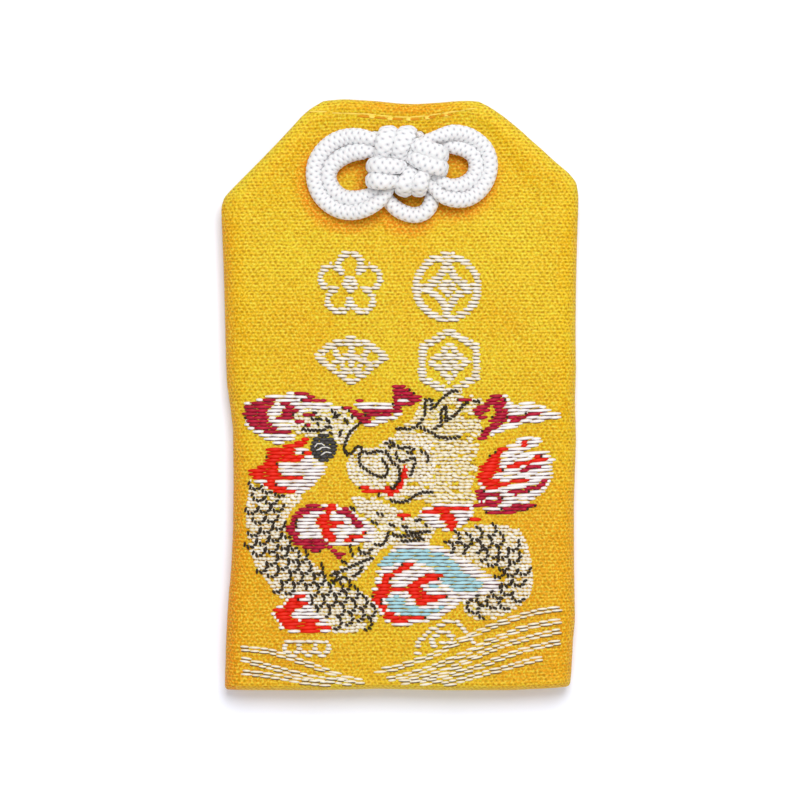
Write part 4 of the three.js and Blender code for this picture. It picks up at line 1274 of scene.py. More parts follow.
def braided_cord(name, rows, cord):
    """A closed braided tube. A row holds right, up, out, fullness and how it is pressed wide, both ways."""
    travelled, rows = evenly(rows, BRAID["rings_apart"])
    centres = rows[:, :3]
    along = np.gradient(centres, axis=0)
    along /= np.linalg.norm(along, axis=1, keepdims=True)
    across = np.zeros_like(along)
    start = np.array([0.0, 0, 1]) if abs(along[0, 2]) < math.sqrt(0.5) else np.array([0.0, 1, 0])
    for k in range(len(centres)):
        start = start - along[k] * np.dot(start, along[k])
        start /= np.linalg.norm(start)
        across[k] = start
    upwards = np.cross(along, across)
    sides = BRAID["sides"]
    turns = np.arange(sides) / sides
    radius = cord.diameter / 2 * np.maximum(rows[:, 3], LEAST_FULLNESS)
    end_share = np.minimum(travelled, travelled[-1] - travelled) / (cord.diameter / 2)
    radius = radius * np.sqrt(1 - (1 - np.clip(end_share, BRAID["tip_share"], 1)) ** 2)
    twist = braid_twist(along, across, upwards, cord)
    relief = braid_relief(turns[None, :] + twist[:, None], travelled[:, None], cord)
    reach = (radius[:, None] + relief * np.clip(end_share, 0, 1)[:, None])[:, :, None]
    angle = 2 * np.pi * turns[None, :, None]
    offsets = reach * (across[:, None, :] * np.cos(angle) + upwards[:, None, :] * np.sin(angle))
    offsets = pressed(offsets, along, rows[:, 4:6])
    vertices = (centres[:, None, :] + offsets).reshape(-1, 3)
    count = len(centres)
    vertices = np.vstack([vertices, centres[0], centres[-1]])
    ring, side = np.meshgrid(np.arange(count - 1), np.arange(sides), indexing="ij")
    ring, side = ring.ravel(), side.ravel()
    following = (side + 1) % sides
    here, ahead = ring * sides, (ring + 1) * sides
    quads = np.stack([here + side, here + following, ahead + following, ahead + side], axis=1)
    faces = [tuple(quad) for quad in quads]
    u = np.stack([side, side + 1, side + 1, side], axis=1) / sides
    u = u + twist[np.stack([ring, ring, ring + 1, ring + 1], axis=1)]
    v = travelled[np.stack([ring, ring, ring + 1, ring + 1], axis=1)] / UV_SPAN
    uvs = list(np.stack([u, v], axis=2).reshape(-1, 2))
    first_tip, last_tip = count * sides, count * sides + 1
    last_ring = (count - 1) * sides
    for k in range(sides):
        following = (k + 1) % sides
        faces.append((first_tip, following, k))
        faces.append((last_tip, last_ring + k, last_ring + following))
        uvs += [(k / sides, 0), ((k + 1) / sides, 0), (k / sides, 0)]
        end = travelled[-1] / UV_SPAN
        uvs += [(k / sides, end), (k / sides, end), ((k + 1) / sides, end)]
    return new_object(name, vertices, faces, white_braid(), uvs), centres


def knot_hinge():
    joint = next(joint for joint in frame["joints"] if joint["name"] == "knot_tilt")
    return Vector(joint["pos_m"])


def knot_rows():
    base = knot_hinge().z - LEG_HEIGHT
    points = []
    for stretch, stretch_points in CORD_ROUTE.items():
        share, turn = PRESSED_SHARES.get(stretch, (1, 0))
        wider = ((share - 1) * math.cos(math.radians(turn)), (share - 1) * math.sin(math.radians(turn)))
        for right, up, out, fullness in stretch_points:
            place = (KNOT["right"] + right * MM, KNOT["up"] + up * MM, base + out * MM)
            points.append((*place, fullness, *wider))
    return cord_line(points)


def bight_rows():
    hinge = knot_hinge()
    half_turn = BIGHT["bend"] * (1 - math.sqrt(0.5))
    low, full = BIGHT["height"], BIGHT["fullness"]

    def leg(hole, inward):
        across = KNOT["right"] + hole[0] * MM
        places = (
            (across, hinge.z, full),
            (across, mix(low, hinge.z, BIGHT["straight_share"]), full),
            (across, low + BIGHT["bend"], full),
            (across + inward * half_turn, low + half_turn, BIGHT["bent_fullness"]),
            (across + inward * BIGHT["bend"], low, 1),
        )
        return [(x, hinge.y, z, fullness, 0, 0) for x, z, fullness in places]

    left = leg(CORD_ROUTE["leg_to_left_hole"][-1], 1)
    right = leg(CORD_ROUTE["leg_from_right_hole"][0], -1)[::-1]
    return cord_line([*left, (hinge.x, hinge.y, low, 1, 0, 0), *right])


class CHARM_OT_knotted_cord(bpy.types.Operator):
    """Ties the braided cord into its knot, on the front"""

    bl_idname = "charm.knotted_cord"
    bl_label = "Knotted Cord"

    def execute(self, context):
        cord = context.scene.charm_cord
        knot, centres = braided_cord("braided_knot_cord", knot_rows(), cord)
        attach(knot, "knot")
        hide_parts("knotted_cord")
        path = centres[::10].tolist() + [centres[-1].tolist()]
        tuple(centres[0])
        bight, _ = braided_cord("braided_cord_bight", bight_rows(), cord)
        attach(bight, "pouch")
        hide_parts("back_cord_bight")
        return {"FINISHED"}


# The cloth

# Painted shade, a deeper orange where shade falls on the silk: towards the foot, up the left side, as the
# knot's shadow, and along the mouth
PAINTED_SHADE = {
    "foot": 0.55, "foot_reach": -22 * MM, "middle_share": 0.55, "left": 0.6, "left_spread": 1.6 * MM,
    "knot": 1.0, "knot_from": 13 * MM, "knot_near": 0.9 * MM, "knot_far": 2.75 * MM,
    "shadow": (-0.55 * MM, -0.95 * MM),
    "band": 0.7, "band_spread": 0.8 * MM, "band_middle": 1 * MM, "band_half_width": 8 * MM,
}
MIDDLE_SHARES = {"left": (0.15, 0.45), "right": (0.9, 0.6)}
# Painted highlight, a paler yellow where light catches the silk: along the shoulders and the foot
PAINTED_HIGHLIGHT = {
    "shoulders": 0.7, "from": 23 * MM, "to": 29 * MM, "inset": 0.5 * MM, "spread": 1.3 * MM, "foot": 0.85,
    "foot_inset": 0.6 * MM, "foot_spread": 0.9 * MM,
}
GRID = {"edge_steps": 12, "across_steps": 120, "up_steps": 200, "across": 47 * MM, "end_power": 8}
HOLE = {"gap": 0.18 * MM, "sides": 32, "reach": 40 * MM}


def stations(steps, edge_steps, edge_share):
    """Shares from 0 to 1, close together where the cloth rolls over at either end."""
    turn = np.arange(edge_steps) / edge_steps * np.pi / 2
    low = edge_share * (1 - np.cos(turn))
    middle = np.linspace(edge_share, 1 - edge_share, steps + 1)
    return np.concatenate([low, middle, 1 - low[::-1]])


def panel_grid(side, depth):
    """A grid of places on the outside of a panel, where depth is 0, or on its inside."""
    span = POUCH["mouth"] - POUCH["foot"]
    ups = stations(GRID["up_steps"], GRID["edge_steps"], ROLL["foot"] / span)
    rights = stations(GRID["across_steps"], GRID["edge_steps"], ROLL["left"] / GRID["across"])
    inset = depth / span
    up, right = np.meshgrid(mix(inset, 1 - inset, ups), rights, indexing="ij")
    base_y = mix(POUCH["foot"], POUCH["mouth"], up)
    left_slant, right_slant = slant(LEFT_EDGE, base_y), slant(RIGHT_EDGE, base_y)
    left, far_right = left_edge(base_y), right_edge(base_y)
    x = mix(left + depth * left_slant, far_right - depth * right_slant, right)
    foot_shift = (foot_line(x) - POUCH["foot"]) * (1 - up) ** GRID["end_power"]
    y = base_y + foot_shift + (mouth_line(x) - POUCH["mouth"]) * up ** GRID["end_power"]
    distances = {
        "left": (x - left) / left_slant - depth, "right": (far_right - x) / right_slant - depth,
        "foot": up * span - depth, "mouth": (1 - up) * span - depth,
    }
    rise = rise_from_seam(x, y, distances, side) - depth
    z = middle_height(y) + side * np.maximum(rise + POUCH["seam"], POUCH["seam"])
    return np.stack([x, y, z], axis=2)


def map_places(grid):
    """Places on the cloth's own map, measured over the cloth both ways from its middle."""
    middle = grid.shape[1] // 2
    steps = np.linalg.norm(np.diff(grid, axis=1), axis=2)
    across = np.concatenate([np.zeros((len(grid), 1)), np.cumsum(steps, axis=1)], axis=1)
    across -= across[:, middle:middle + 1]
    across += grid[:, middle:middle + 1, 0]
    up = travelled_along(grid[:, middle])
    up = np.broadcast_to((up - up[len(up) // 2])[:, None], across.shape)
    return np.stack([across, up], axis=2) / UV_SPAN


def painted_knot_shadow(x, y):
    """How strongly the cord's shadow is painted on a place of the cloth, from 0 to 1."""
    near = np.zeros(np.shape(x))
    reached = y > PAINTED_SHADE["knot_from"]
    # The painted shadow lies a little down and to the left of the cord
    rows = knot_rows()[::8, :2] + PAINTED_SHADE["shadow"]
    away = np.hypot(x[reached][:, None] - rows[:, 0], y[reached][:, None] - rows[:, 1])
    near[reached] = smooth_share(PAINTED_SHADE["knot_far"], PAINTED_SHADE["knot_near"], away.min(axis=1))
    return near


def painted_shade_and_highlight(x, y, side):
    """How much painted shade and painted highlight the silk takes at each place, from 0 to 1."""
    distances = edge_distances(x, y)
    across = (x - left_edge(y)) / (right_edge(y) - left_edge(y))
    in_middle = smooth_share(*MIDDLE_SHARES["left"], across) * smooth_share(*MIDDLE_SHARES["right"], across)
    shoulders = smooth_share(PAINTED_HIGHLIGHT["from"], PAINTED_HIGHLIGHT["to"], y)
    warm = PAINTED_SHADE["foot"] * smooth_share(0, PAINTED_SHADE["foot_reach"], y) * (1 - PAINTED_SHADE["middle_share"] * in_middle)
    warm = warm + PAINTED_SHADE["left"] * bell(distances["left"], PAINTED_SHADE["left_spread"]) * (1 - shoulders)
    nearest = np.minimum(distances["left"], distances["right"])
    # Painted highlight along the shoulders' edges and the foot
    pale = PAINTED_HIGHLIGHT["shoulders"] * shoulders * bell(nearest - PAINTED_HIGHLIGHT["inset"], PAINTED_HIGHLIGHT["spread"])
    pale = np.maximum(pale, PAINTED_HIGHLIGHT["foot"] * bell(distances["foot"] - PAINTED_HIGHLIGHT["foot_inset"], PAINTED_HIGHLIGHT["foot_spread"]))
    # On the front, painted shade along the mouth and the knot's painted shadow
    if side > 0:
        band = bell(distances["mouth"] - PAINTED_SHADE["band_spread"], PAINTED_SHADE["band_spread"])
        band = band * bell(x - PAINTED_SHADE["band_middle"], PAINTED_SHADE["band_half_width"])
        warm = np.maximum(warm, np.maximum(PAINTED_SHADE["knot"] * painted_knot_shadow(x, y), PAINTED_SHADE["band"] * band))
    return np.clip(warm, 0, 1), np.clip(pale * (1 - warm), 0, 1)


def cloth_panel(name, side):
    outer, inner = panel_grid(side, 0), panel_grid(side, POUCH["cloth"])
    rows, columns = outer.shape[:2]
    vertices = np.vstack([outer.reshape(-1, 3), inner.reshape(-1, 3)])
    places = map_places(outer).reshape(-1, 2)
    places = np.vstack([places, places])
    number = np.arange(rows * columns).reshape(rows, columns)
    a, b, c, d = number[:-1, :-1], number[:-1, 1:], number[1:, 1:], number[1:, :-1]
    outside = np.stack([a, b, c, d], axis=2).reshape(-1, 4)
    inside = outside[:, ::-1] + rows * columns
    rim = np.concatenate([number[0, :-1], number[:-1, -1], number[-1, :0:-1], number[:0:-1, 0]])
    ahead = np.roll(rim, -1)
    wall = np.stack([rim, rim + rows * columns, ahead + rows * columns, ahead], axis=1)
    faces = np.vstack([outside, inside, wall])
    if side < 0:
        faces = faces[:, ::-1]
    # The shares of painted shade and painted highlight, as point attributes of the panel
    painted_light_shares = zip(("warmth", "paleness"), painted_shade_and_highlight(outer[:, :, 0], outer[:, :, 1], side))
    values = {tone: np.tile(share.ravel(), 2) for tone, share in painted_light_shares}
    panel = new_object(name, vertices, faces.tolist(), yellow_brocade(), places[faces.ravel()], values)
    return punched(panel)


def punched(panel):
    """The panel with the two holes that the cord goes through."""
    hinge = knot_hinge()
    radius = bpy.context.scene.charm_cord.diameter / 2 * BIGHT["fullness"] + HOLE["gap"]
    for stretch, number in (("leg_from_right_hole", 0), ("leg_to_left_hole", -1)):
        across = KNOT["right"] + CORD_ROUTE[stretch][number][0] * MM
        bpy.ops.mesh.primitive_cylinder_add(
            vertices=HOLE["sides"], radius=radius, depth=HOLE["reach"], location=(across, hinge.y, 0)
        )
        drill = bpy.context.object
        drill.data.materials.append(panel.data.materials[0])
        cut = panel.modifiers.new("cord_hole", "BOOLEAN")
        cut.operation = "DIFFERENCE"
        cut.object = drill
        cut.solver = "EXACT"
        mesh, old = evaluated_mesh(panel), panel.data
        panel.modifiers.remove(cut)
        panel.data = mesh
        bpy.data.meshes.remove(old)
        bpy.data.objects.remove(drill)
    return panel


class CHARM_OT_brocade(bpy.types.Operator):
    """Makes the front and back panels of yellow brocade"""

    bl_idname = "charm.brocade"
    bl_label = "Brocade Panels"

    def execute(self, context):
        for name, side, node in (("brocade_front", 1, "front_brocade"), ("brocade_back", -1, "back_brocade")):
            panel = cloth_panel(name, side)
            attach(panel, "pouch")
            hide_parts(node)
        return {"FINISHED"}


# The woven figure

RASTER = {"left": 236, "top": 246, "right": 572, "bottom": 688, "step": 0.5}
FLOAT_LIFT = 0.12  # of a float's height
ROW_DRIFT = {"height": 0.5, "across": 47, "up": 61}  # in pixels
COVERS = ("white", "red", "crimson", "blue")
# Black ticks at some ends of red and crimson runs: partly black ticks of the weave, partly painted shade of
# the pit where a float dives into the cloth
RUN_END_TICKS = {"share": 0.1, "length": 2.2, "threads": ("red", "crimson")}
LEAST_FLOAT = {"run": 1, "length": 1.2}  # in pixels
# The dark fine thread under a run: partly a thread that binds it, partly a painted shadow below its floats
BINDING_AND_SHADOW = {"inset": 0.8, "below": 0.5}  # from the ends of its run, in pixels, and below its row, in rows


def polar(centre, radius, turn):
    """The place at a turn round a centre, in degrees."""
    angle = math.radians(turn)
    return centre[0] + radius * math.cos(angle), centre[1] - radius * math.sin(angle)


def arc_points(centre, radius, start, end, count=9):
    return [polar(centre, radius, turn) for turn in np.linspace(start, end, count)]


def ring_points(centre, radius, corners, turn=0.0):
    return arc_points(centre, radius, turn, turn + 360, corners + 1)


def plum_blossom(centre, radius):
    for turn in range(90, 450, 72):
        middle = polar(centre, 0.64 * radius, turn)
        yield "fine_width", arc_points(middle, 0.37 * radius, turn - 135, turn + 135)
    yield "width", ring_points(centre, 0.14 * radius, 10)


def seven_treasures(centre, radius):
    yield "width", ring_points(centre, radius, 28)
    for k, signs in enumerate(((1, -1), (-1, -1), (-1, 1), (1, 1))):
        corner = [c + sign * radius for c, sign in zip(centre, signs)]
        yield "width", arc_points(corner, radius, 180 + 90 * k, 270 + 90 * k)
    yield "fine_width", ring_points(centre, 0.2 * radius, 4)


def folding_fan(centre, radius):
    pivot = (centre[0], centre[1] + 0.7 * radius)
    reach, opened = 1.36 * radius, 52
    first, last = 90 - opened, 90 + opened
    yield "width", arc_points(pivot, reach, first, last, 13)
    yield "fine_width", arc_points(pivot, 0.62 * reach, first, last)
    for turn in np.linspace(first, last, 5):
        start = 0 if turn in (first, last) else 0.3
        yield "fine_width", [polar(pivot, share * reach, turn) for share in (start, 1)]


def tortoiseshell(centre, radius):
    yield "width", ring_points(centre, radius, 6, 90)
    for turn in range(0, 360, 90):
        cos, sin = math.cos(math.radians(turn)), math.sin(math.radians(turn))
        yield "fine_width", [
            (centre[0] + radius * (a * cos + b * sin), centre[1] + radius * (b * cos - a * sin))
            for a, b in ((0.1, 0), (0.34, 0.2), (0.58, 0), (0.34, -0.2), (0.1, 0))
        ]


ORNAMENT_MAKERS = {
    "plum_blossom": plum_blossom, "seven_treasures": seven_treasures, "folding_fan": folding_fan,
    "tortoiseshell": tortoiseshell,
}


def scale_lines(stretch):
    """Arcs in staggered rows along a stretch of the figure, as its scales."""
    line, pitch, radius = np.array(stretch["line"], float), SCALE_NET["pitch"], SCALE_NET["radius"]
    travelled = travelled_along(line)
    angles = np.radians(np.linspace(-SCALE_NET["reach"], SCALE_NET["reach"], SCALE_NET["points"]))
    for row, along in enumerate(np.arange(0, travelled[-1], pitch * SCALE_NET["rows_apart"])):
        middle = place_at(line, travelled, along)
        ahead = place_at(line, travelled, along + 1) - middle
        ahead /= max(np.linalg.norm(ahead), TINY)
        aside = np.array([-ahead[1], ahead[0]])
        half = np.interp(along, travelled, stretch["half_width"])
        count = math.ceil(half / pitch)
        for off in np.arange(-count, count + 1) * pitch + pitch / 2 * (row % 2):
            if abs(off) > half:
                continue
            centre = middle + aside * off
            yield [tuple(centre + radius * (math.cos(a) * ahead + math.sin(a) * aside)) for a in angles]


def figure_shapes():
    """Every shape of the figure in the order it is laid: its thread, width and points."""
    for points in (*FOAM, *(ring_points(centre, FOAM_RADIUS, 12) for centre in FOAM_RINGS)):
        yield "silver", WAVE["ring_width"], points
    for name, centre in ORNAMENTS.items():
        for width_name, points in ORNAMENT_MAKERS[name](centre, ORNAMENT["radius"]):
            yield "silver", ORNAMENT[width_name], points
    for name, thread, width, points in FIGURE:
        yield thread, width, points
        if name == "coil":
            for stretch in SCALED:
                for points in scale_lines(stretch):
                    yield SCALE_NET["thread"], SCALE_NET["width"], points
            for points in MARKS:
                yield "black", MARK_WIDTH, points


def inside(polygon, x, y):
    crossings = np.zeros(np.shape(x), bool)
    for (ax, ay), (bx, by) in zip(polygon, [*polygon[1:], polygon[0]]):
        if ay == by:
            continue
        crosses = (ay > y) != (by > y)
        crossings ^= crosses & (x < (bx - ax) * (y - ay) / (by - ay) + ax)
    return crossings


def woven_labels(row_pitch):
    """The rows, and which thread lies on top at each small step along each of them."""
    columns = np.arange(RASTER["left"], RASTER["right"], RASTER["step"])
    rows = np.arange(RASTER["top"], RASTER["bottom"], row_pitch)
    x, y = np.meshgrid(columns, rows)
    labels = np.full(x.shape, "", dtype=object)
    for thread, width, points in figure_shapes():
        if thread in BEADS:
            continue
        places = np.array(points, float)
        margin = row_pitch + width
        low, high = places.min(axis=0) - margin, places.max(axis=0) + margin
        near = (x >= low[0]) & (x <= high[0]) & (y >= low[1]) & (y <= high[1])
        if not near.any():
            continue
        if width:
            squeeze = min(1.0, width / row_pitch)
            line = [(px, py * squeeze) for px, py in points]
            hit = distance_to_line(x[near], y[near] * squeeze, line) <= width / 2
        else:
            hit = inside(points, x[near], y[near])
        cells = labels[near]
        cells[hit] = thread
        labels[near] = cells
    return rows, labels


def run_ends(labels_row, rng):
    """Where the thread changes along a row, ragged where two dense threads meet."""
    count = len(labels_row)
    numbers = [0] + [k for k in range(1, count) if labels_row[k] != labels_row[k - 1]] + [count]
    for number in numbers:
        beside = {labels_row[max(number - 1, 0)], labels_row[min(number, count - 1)]}
        dense = beside & set(RAGGED["threads"]) and beside <= {*RAGGED["threads"], *RAGGED["plain"]}
        share = bool(dense) * (RAGGED["silver"] if "silver" in beside else 1)
        shift = rng.uniform(-1, 1) * RAGGED["reach"] * share
        yield number, RASTER["left"] + number * RASTER["step"] + shift


def broken_up(thread, place, stop, rng):
    """A run of one thread as floats: each one's start and end."""
    shortest, longest, gap, left_out = THREADS[thread][3]
    while place < stop:
        length = min(rng.uniform(shortest, longest), stop - place)
        if stop - place - length < shortest / 2:
            length = stop - place
        if length > LEAST_FLOAT["run"] and rng.random() >= left_out:
            yield place, place + max(length - gap, LEAST_FLOAT["length"])
        place += length


def floats_of(labels_row, rng):
    """The floats of one row: the thread, its start, its end and how far below the row it lies."""
    ends = list(run_ends(labels_row, rng))
    for (number, place), (_, stop) in zip(ends[:-1], ends[1:]):
        thread = labels_row[number]
        if not thread:
            continue
        for start, end in broken_up(thread, place, stop, rng):
            yield thread, start, end, 0.0
        # Below the run, its dark fine thread, partly a thread that binds it and partly a painted shadow
        binding_and_shadow = THREADS[thread][-1]
        if binding_and_shadow:
            for start, end in broken_up(binding_and_shadow, place + BINDING_AND_SHADOW["inset"], stop - BINDING_AND_SHADOW["inset"], rng):
                yield binding_and_shadow, start, end, BINDING_AND_SHADOW["below"]
        # Black ticks at the run's ends, partly painted shade of the pit where the float dives
        if thread in RUN_END_TICKS["threads"]:
            for tied in (place, stop):
                if rng.random() < RUN_END_TICKS["share"]:
                    yield "black", tied - RUN_END_TICKS["length"] / 2, tied + RUN_END_TICKS["length"] / 2, 0.0


def wave_floats(rng, pitch):
    """Floats that follow the waves: the thread, place, length and tilt of each."""
    for wave in WAVES:
        line = np.array(wave, float)
        travelled = travelled_along(line)
        for off in WAVE["lines"]:
            place = rng.uniform(0, WAVE["shortest"] / 2)
            while place < travelled[-1] - WAVE["shortest"] / 2:
                length = rng.uniform(WAVE["shortest"], WAVE["longest"])
                middle = place_at(line, travelled, place + length / 2)
                ahead = place_at(line, travelled, place + length / 2 + 1)
                right, down = (ahead - middle) * np.sign(ahead[0] - middle[0])
                tilt = WAVE["tilt_share"] * math.atan2(-down, right)
                # Most floats get an umber float just below them, a painted shadow
                shaded = rng.random() < WAVE["shaded"]
                for thread, below in (("foam", 0), ("umber", WAVE["shadow"] * pitch))[:1 + shaded]:
                    yield thread, middle[0], middle[1] + off + below, length - WAVE["gap"], tilt
                place += length


def label_at(labels, pitch, x, y):
    column, row = int((x - RASTER["left"]) / RASTER["step"]), int(round((y - RASTER["top"]) / pitch))
    if 0 <= row < labels.shape[0] and 0 <= column < labels.shape[1]:
        return labels[row, column]
    return ""


def bead_floats(rng, labels, pitch):
    """Beads along the sewn lines: the thread, place, length and tilt of each, where no flame covers them."""
    for thread, _, points in figure_shapes():
        if thread not in BEADS:
            continue
        bead, line = BEADS[thread], np.array(points, float)
        travelled = travelled_along(line)
        count = max(int(round(travelled[-1] / bead["spacing"])), 1)
        for place in (np.arange(count) + 0.5) * travelled[-1] / count:
            middle, ahead = (place_at(line, travelled, where) for where in (place - 0.5, place + 0.5))
            if label_at(labels, pitch, *middle) in COVERS:
                continue
            along = math.atan2(middle[1] - ahead[1], ahead[0] - middle[0])
            tilt = along + math.radians(bead["lean"] + rng.normal(0, BEAD_WOBBLE["degrees"]))
            yield thread, *middle, bead["length"] * rng.uniform(*BEAD_WOBBLE["lengths"]), tilt


def float_points(settings):
    """For each thread, the places, lengths, shades and tilts of its floats on the cloth."""
    rng = np.random.default_rng(settings.seed)
    pitch = settings.row_pitch / PHOTO["pixel"]
    rows, labels = woven_labels(pitch)
    found = {}
    for number, y in enumerate(rows):
        for thread, start, end, below in floats_of(labels[number], rng):
            middle = (start + end) / 2
            drift = ROW_DRIFT["height"] * math.sin(middle / ROW_DRIFT["across"] + y / ROW_DRIFT["up"])
            turn, shift = LOOSE.get(thread, FIRM)
            drift += rng.uniform(-shift, shift)
            away = math.dist((middle, y), ROW_TILT["middle"])
            lean = LEAN.get(thread, 0) + ROW_TILT["degrees"] * bell(away, ROW_TILT["spread"])
            tilt = math.radians(lean + rng.normal(0, turn))
            place = (middle, y + drift + below * pitch, end - start)
            found.setdefault(thread, []).append((*place, rng.random(), tilt))
    for thread, x, y, length, tilt in (*wave_floats(rng, pitch), *bead_floats(rng, labels, pitch)):
        found.setdefault(thread, []).append((x, y, length, rng.random(), tilt))
    return {thread: np.array(places) for thread, places in found.items()}


THREAD_INPUTS = {
    "Thread Width": 0.42 * MM, "Thread Height": 0.3 * MM, "Taper": 0.97, "Dip": 0.55, "Sides": 6, "Rings": 5,
    "Material": None,
}


def short_thread(given):
    """A bowed thread of unit size along X, whose thin ends dip into the cloth."""
    tree = given["Taper"].tree
    line = wired(tree, "GeometryNodeCurvePrimitiveLine", {"Start": (-0.5, 0, 0), "End": (0.5, 0, 0)})
    steps = wired(tree, "GeometryNodeResampleCurve", {"Curve": line, "Count": given["Rings"]})
    factor = wired(tree, "GeometryNodeSplineParameter", output="Factor")
    ends = maths("ABSOLUTE", maths("MULTIPLY_ADD", factor, 2.0, -1.0)) ** 2.0
    taper = maths("SQRT", 1.0 - ends * given["Taper"])
    dip = wired(tree, "ShaderNodeCombineXYZ", {"Z": ends * (given["Dip"] * -1.0)})
    bowed = wired(tree, "GeometryNodeSetPosition", {"Geometry": steps, "Offset": dip})
    profile = wired(tree, "GeometryNodeCurvePrimitiveCircle", {"Resolution": given["Sides"], "Radius": 0.5})
    inputs = {"Curve": bowed, "Profile Curve": profile, "Scale": taper, "Fill Caps": True}
    return wired(tree, "GeometryNodeCurveToMesh", inputs)


def named_value(tree, name, kind):
    return wired(tree, "GeometryNodeInputNamedAttribute", {"Name": name}, "Attribute", data_type=kind)


def laid_threads(given, result, points, along, length):
    """Sets a short thread on each point, along its slope and facing out of the cloth, and ends the tree."""
    tree = result.id_data
    axes = {"Primary Axis": named_value(tree, "facing", "FLOAT_VECTOR"), "Secondary Axis": along}
    turned = wired(tree, "FunctionNodeAxesToRotation", axes, primary_axis="Z", secondary_axis="X")
    sizes = {"X": length, "Y": given["Thread Width"], "Z": given["Thread Height"]}
    size = wired(tree, "ShaderNodeCombineXYZ", sizes)
    laid = wired(tree, "GeometryNodeInstanceOnPoints", {
        "Points": points, "Instance": short_thread(given), "Rotation": turned, "Scale": size,
    })
    whole = wired(tree, "GeometryNodeRealizeInstances", {"Geometry": laid})
    smooth = wired(tree, "GeometryNodeSetShadeSmooth", {"Geometry": whole})
    finished = wired(tree, "GeometryNodeSetMaterial", {"Geometry": smooth, "Material": given["Material"]})
    return end_group(result, Geometry=finished)


def woven_floats_tree():
    """The floats of one colour: each point's slope, length and facing are its own attributes."""
    inputs = {"Points": None, **THREAD_INPUTS}
    given, result = new_group("woven_floats", "GeometryNodeTree", inputs, ("Geometry",))
    slope = named_value(result.id_data, "slope", "FLOAT_VECTOR")
    length = named_value(result.id_data, "length", "FLOAT")
    return laid_threads(given, result, given["Points"], slope, length)


def stitch_row_tree():
    """Stitches at an even pitch along a path."""
    inputs = {"Path": None, "Stitch Pitch": 2 * MM, "Stitch Length": 1.35 * MM, **THREAD_INPUTS}
    given, result = new_group("stitch_row", "GeometryNodeTree", inputs, ("Geometry",))
    tree = result.id_data
    path = wired(tree, "GeometryNodeMeshToCurve", {"Mesh": given["Path"]})
    spacing = {"Curve": path, "Length": given["Stitch Pitch"]}
    places = wired(tree, "GeometryNodeResampleCurve", spacing, mode="LENGTH")
    along = wired(tree, "GeometryNodeInputTangent")
    return laid_threads(given, result, places, along, given["Stitch Length"])


def tree_modifier(piece, tree, values):
    modifier = piece.modifiers.new(tree.name, "NODES")
    modifier.node_group = tree
    sockets = {item.name: item.identifier for item in tree.interface.items_tree if item.in_out == "INPUT"}
    for name, value in values.items():
        modifier[sockets[name]] = value


def guide(name, places, attributes, edges=()):
    """Bare points, or a path, that a node tree sets its threads on."""
    return linked(name, new_mesh(name, places, list(edges), [], attributes))


class CHARM_OT_woven_figure(bpy.types.Operator):
    """Lays the coloured floats of the woven figure and ornaments on the front"""

    bl_idname = "charm.woven_figure"
    bl_label = "Woven Figure"

    def execute(self, context):
        settings = context.scene.charm_figure
        tree = woven_floats_tree()
        for thread, rows in float_points(settings).items():
            self.lay(settings, tree, thread, rows)
        return {"FINISHED"}

    def lay(self, settings, tree, thread, rows):
        colour, shade, (wide, tall), _, _ = THREADS[thread]
        height = settings.thread_height * tall
        x, y = from_photo(rows[:, :2]).T
        normal = front_normal(x, y)
        slope = np.stack([np.cos(rows[:, 4]), np.sin(rows[:, 4]), np.zeros(len(x))], axis=1)
        slope -= normal * np.sum(slope * normal, axis=1, keepdims=True)
        z = front_height(x, y) + POUCH["seam"] + RISE.get(thread, FLOAT_LIFT) * height
        source = guide("floats", np.column_stack([x, y, z]), {
            "slope": slope, "facing": normal, "length": rows[:, 2] * PHOTO["pixel"], "shade": rows[:, 3],
        })
        tree_modifier(source, tree, {
            "Thread Width": settings.thread_width * wide, "Thread Height": height,
            "Material": thread_material(thread + "_weft", linear(*colour), linear(*shade)),
        })
        piece = baked(source, "woven_" + thread)
        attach(piece, "pouch")


# The sewing

SEAM_STITCH = {"pitch": 2.6 * MM, "length": 1.3 * MM, "width": 0.26 * MM, "inset": 0.12 * MM}
SEAM_SPAN = {"above_foot": 2 * MM, "below_mouth": 1.2 * MM, "step": 0.8 * MM}
# Painted shadow: dark orange dashes just below the hem's stitches, where the folded hem shades the cloth
HEM_SHADOW_DASH = {"length": 1.3 * MM, "width": 0.34 * MM, "below": 0.34 * MM, "colour": (226, 148, 10)}
TUCK = {"length": 0.6 * MM, "width": 0.62 * MM, "below": 0.3 * MM}
HEM_SPANS = {"stitches": (318, 468), "tucks": (364, 446)}  # in pixels
HEM_STEPS = 80
STITCH_LIFT = 0.1  # of a stitch's thickness
SEWN_SHADE = 0.8  # of the thread's colour
STITCH_FORM = {"Taper": 0.8, "Sides": 8, "Rings": 9}


def hem_path(span, below, start):
    """Places along the hem's groove, some way below it, and the way the cloth faces there."""
    flat = from_photo(HEM_PX)
    first, last = from_photo([(edge, 0) for edge in span])[:, 0]
    x = np.linspace(first + start, last, HEM_STEPS)
    y = np.interp(x, flat[:, 0], flat[:, 1]) - below
    return np.column_stack([x, y, front_height(x, y) + POUCH["seam"]]), front_normal(x, y)


def side_path(edge, outwards):
    """Places up a side seam, between the two panels, and the way out of the pouch there."""
    foot, mouth = POUCH["foot"] + SEAM_SPAN["above_foot"], POUCH["mouth"] - SEAM_SPAN["below_mouth"]
    y = np.arange(foot, mouth, SEAM_SPAN["step"])
    lean = (edge(y + PROBE) - edge(y - PROBE)) / (2 * PROBE)
    facing = np.column_stack([np.ones(len(y)), -lean, np.zeros(len(y))]) * outwards
    facing /= np.linalg.norm(facing, axis=1, keepdims=True)
    places = np.column_stack([edge(y), y, middle_height(y)]) - facing * SEAM_STITCH["inset"]
    return places, facing


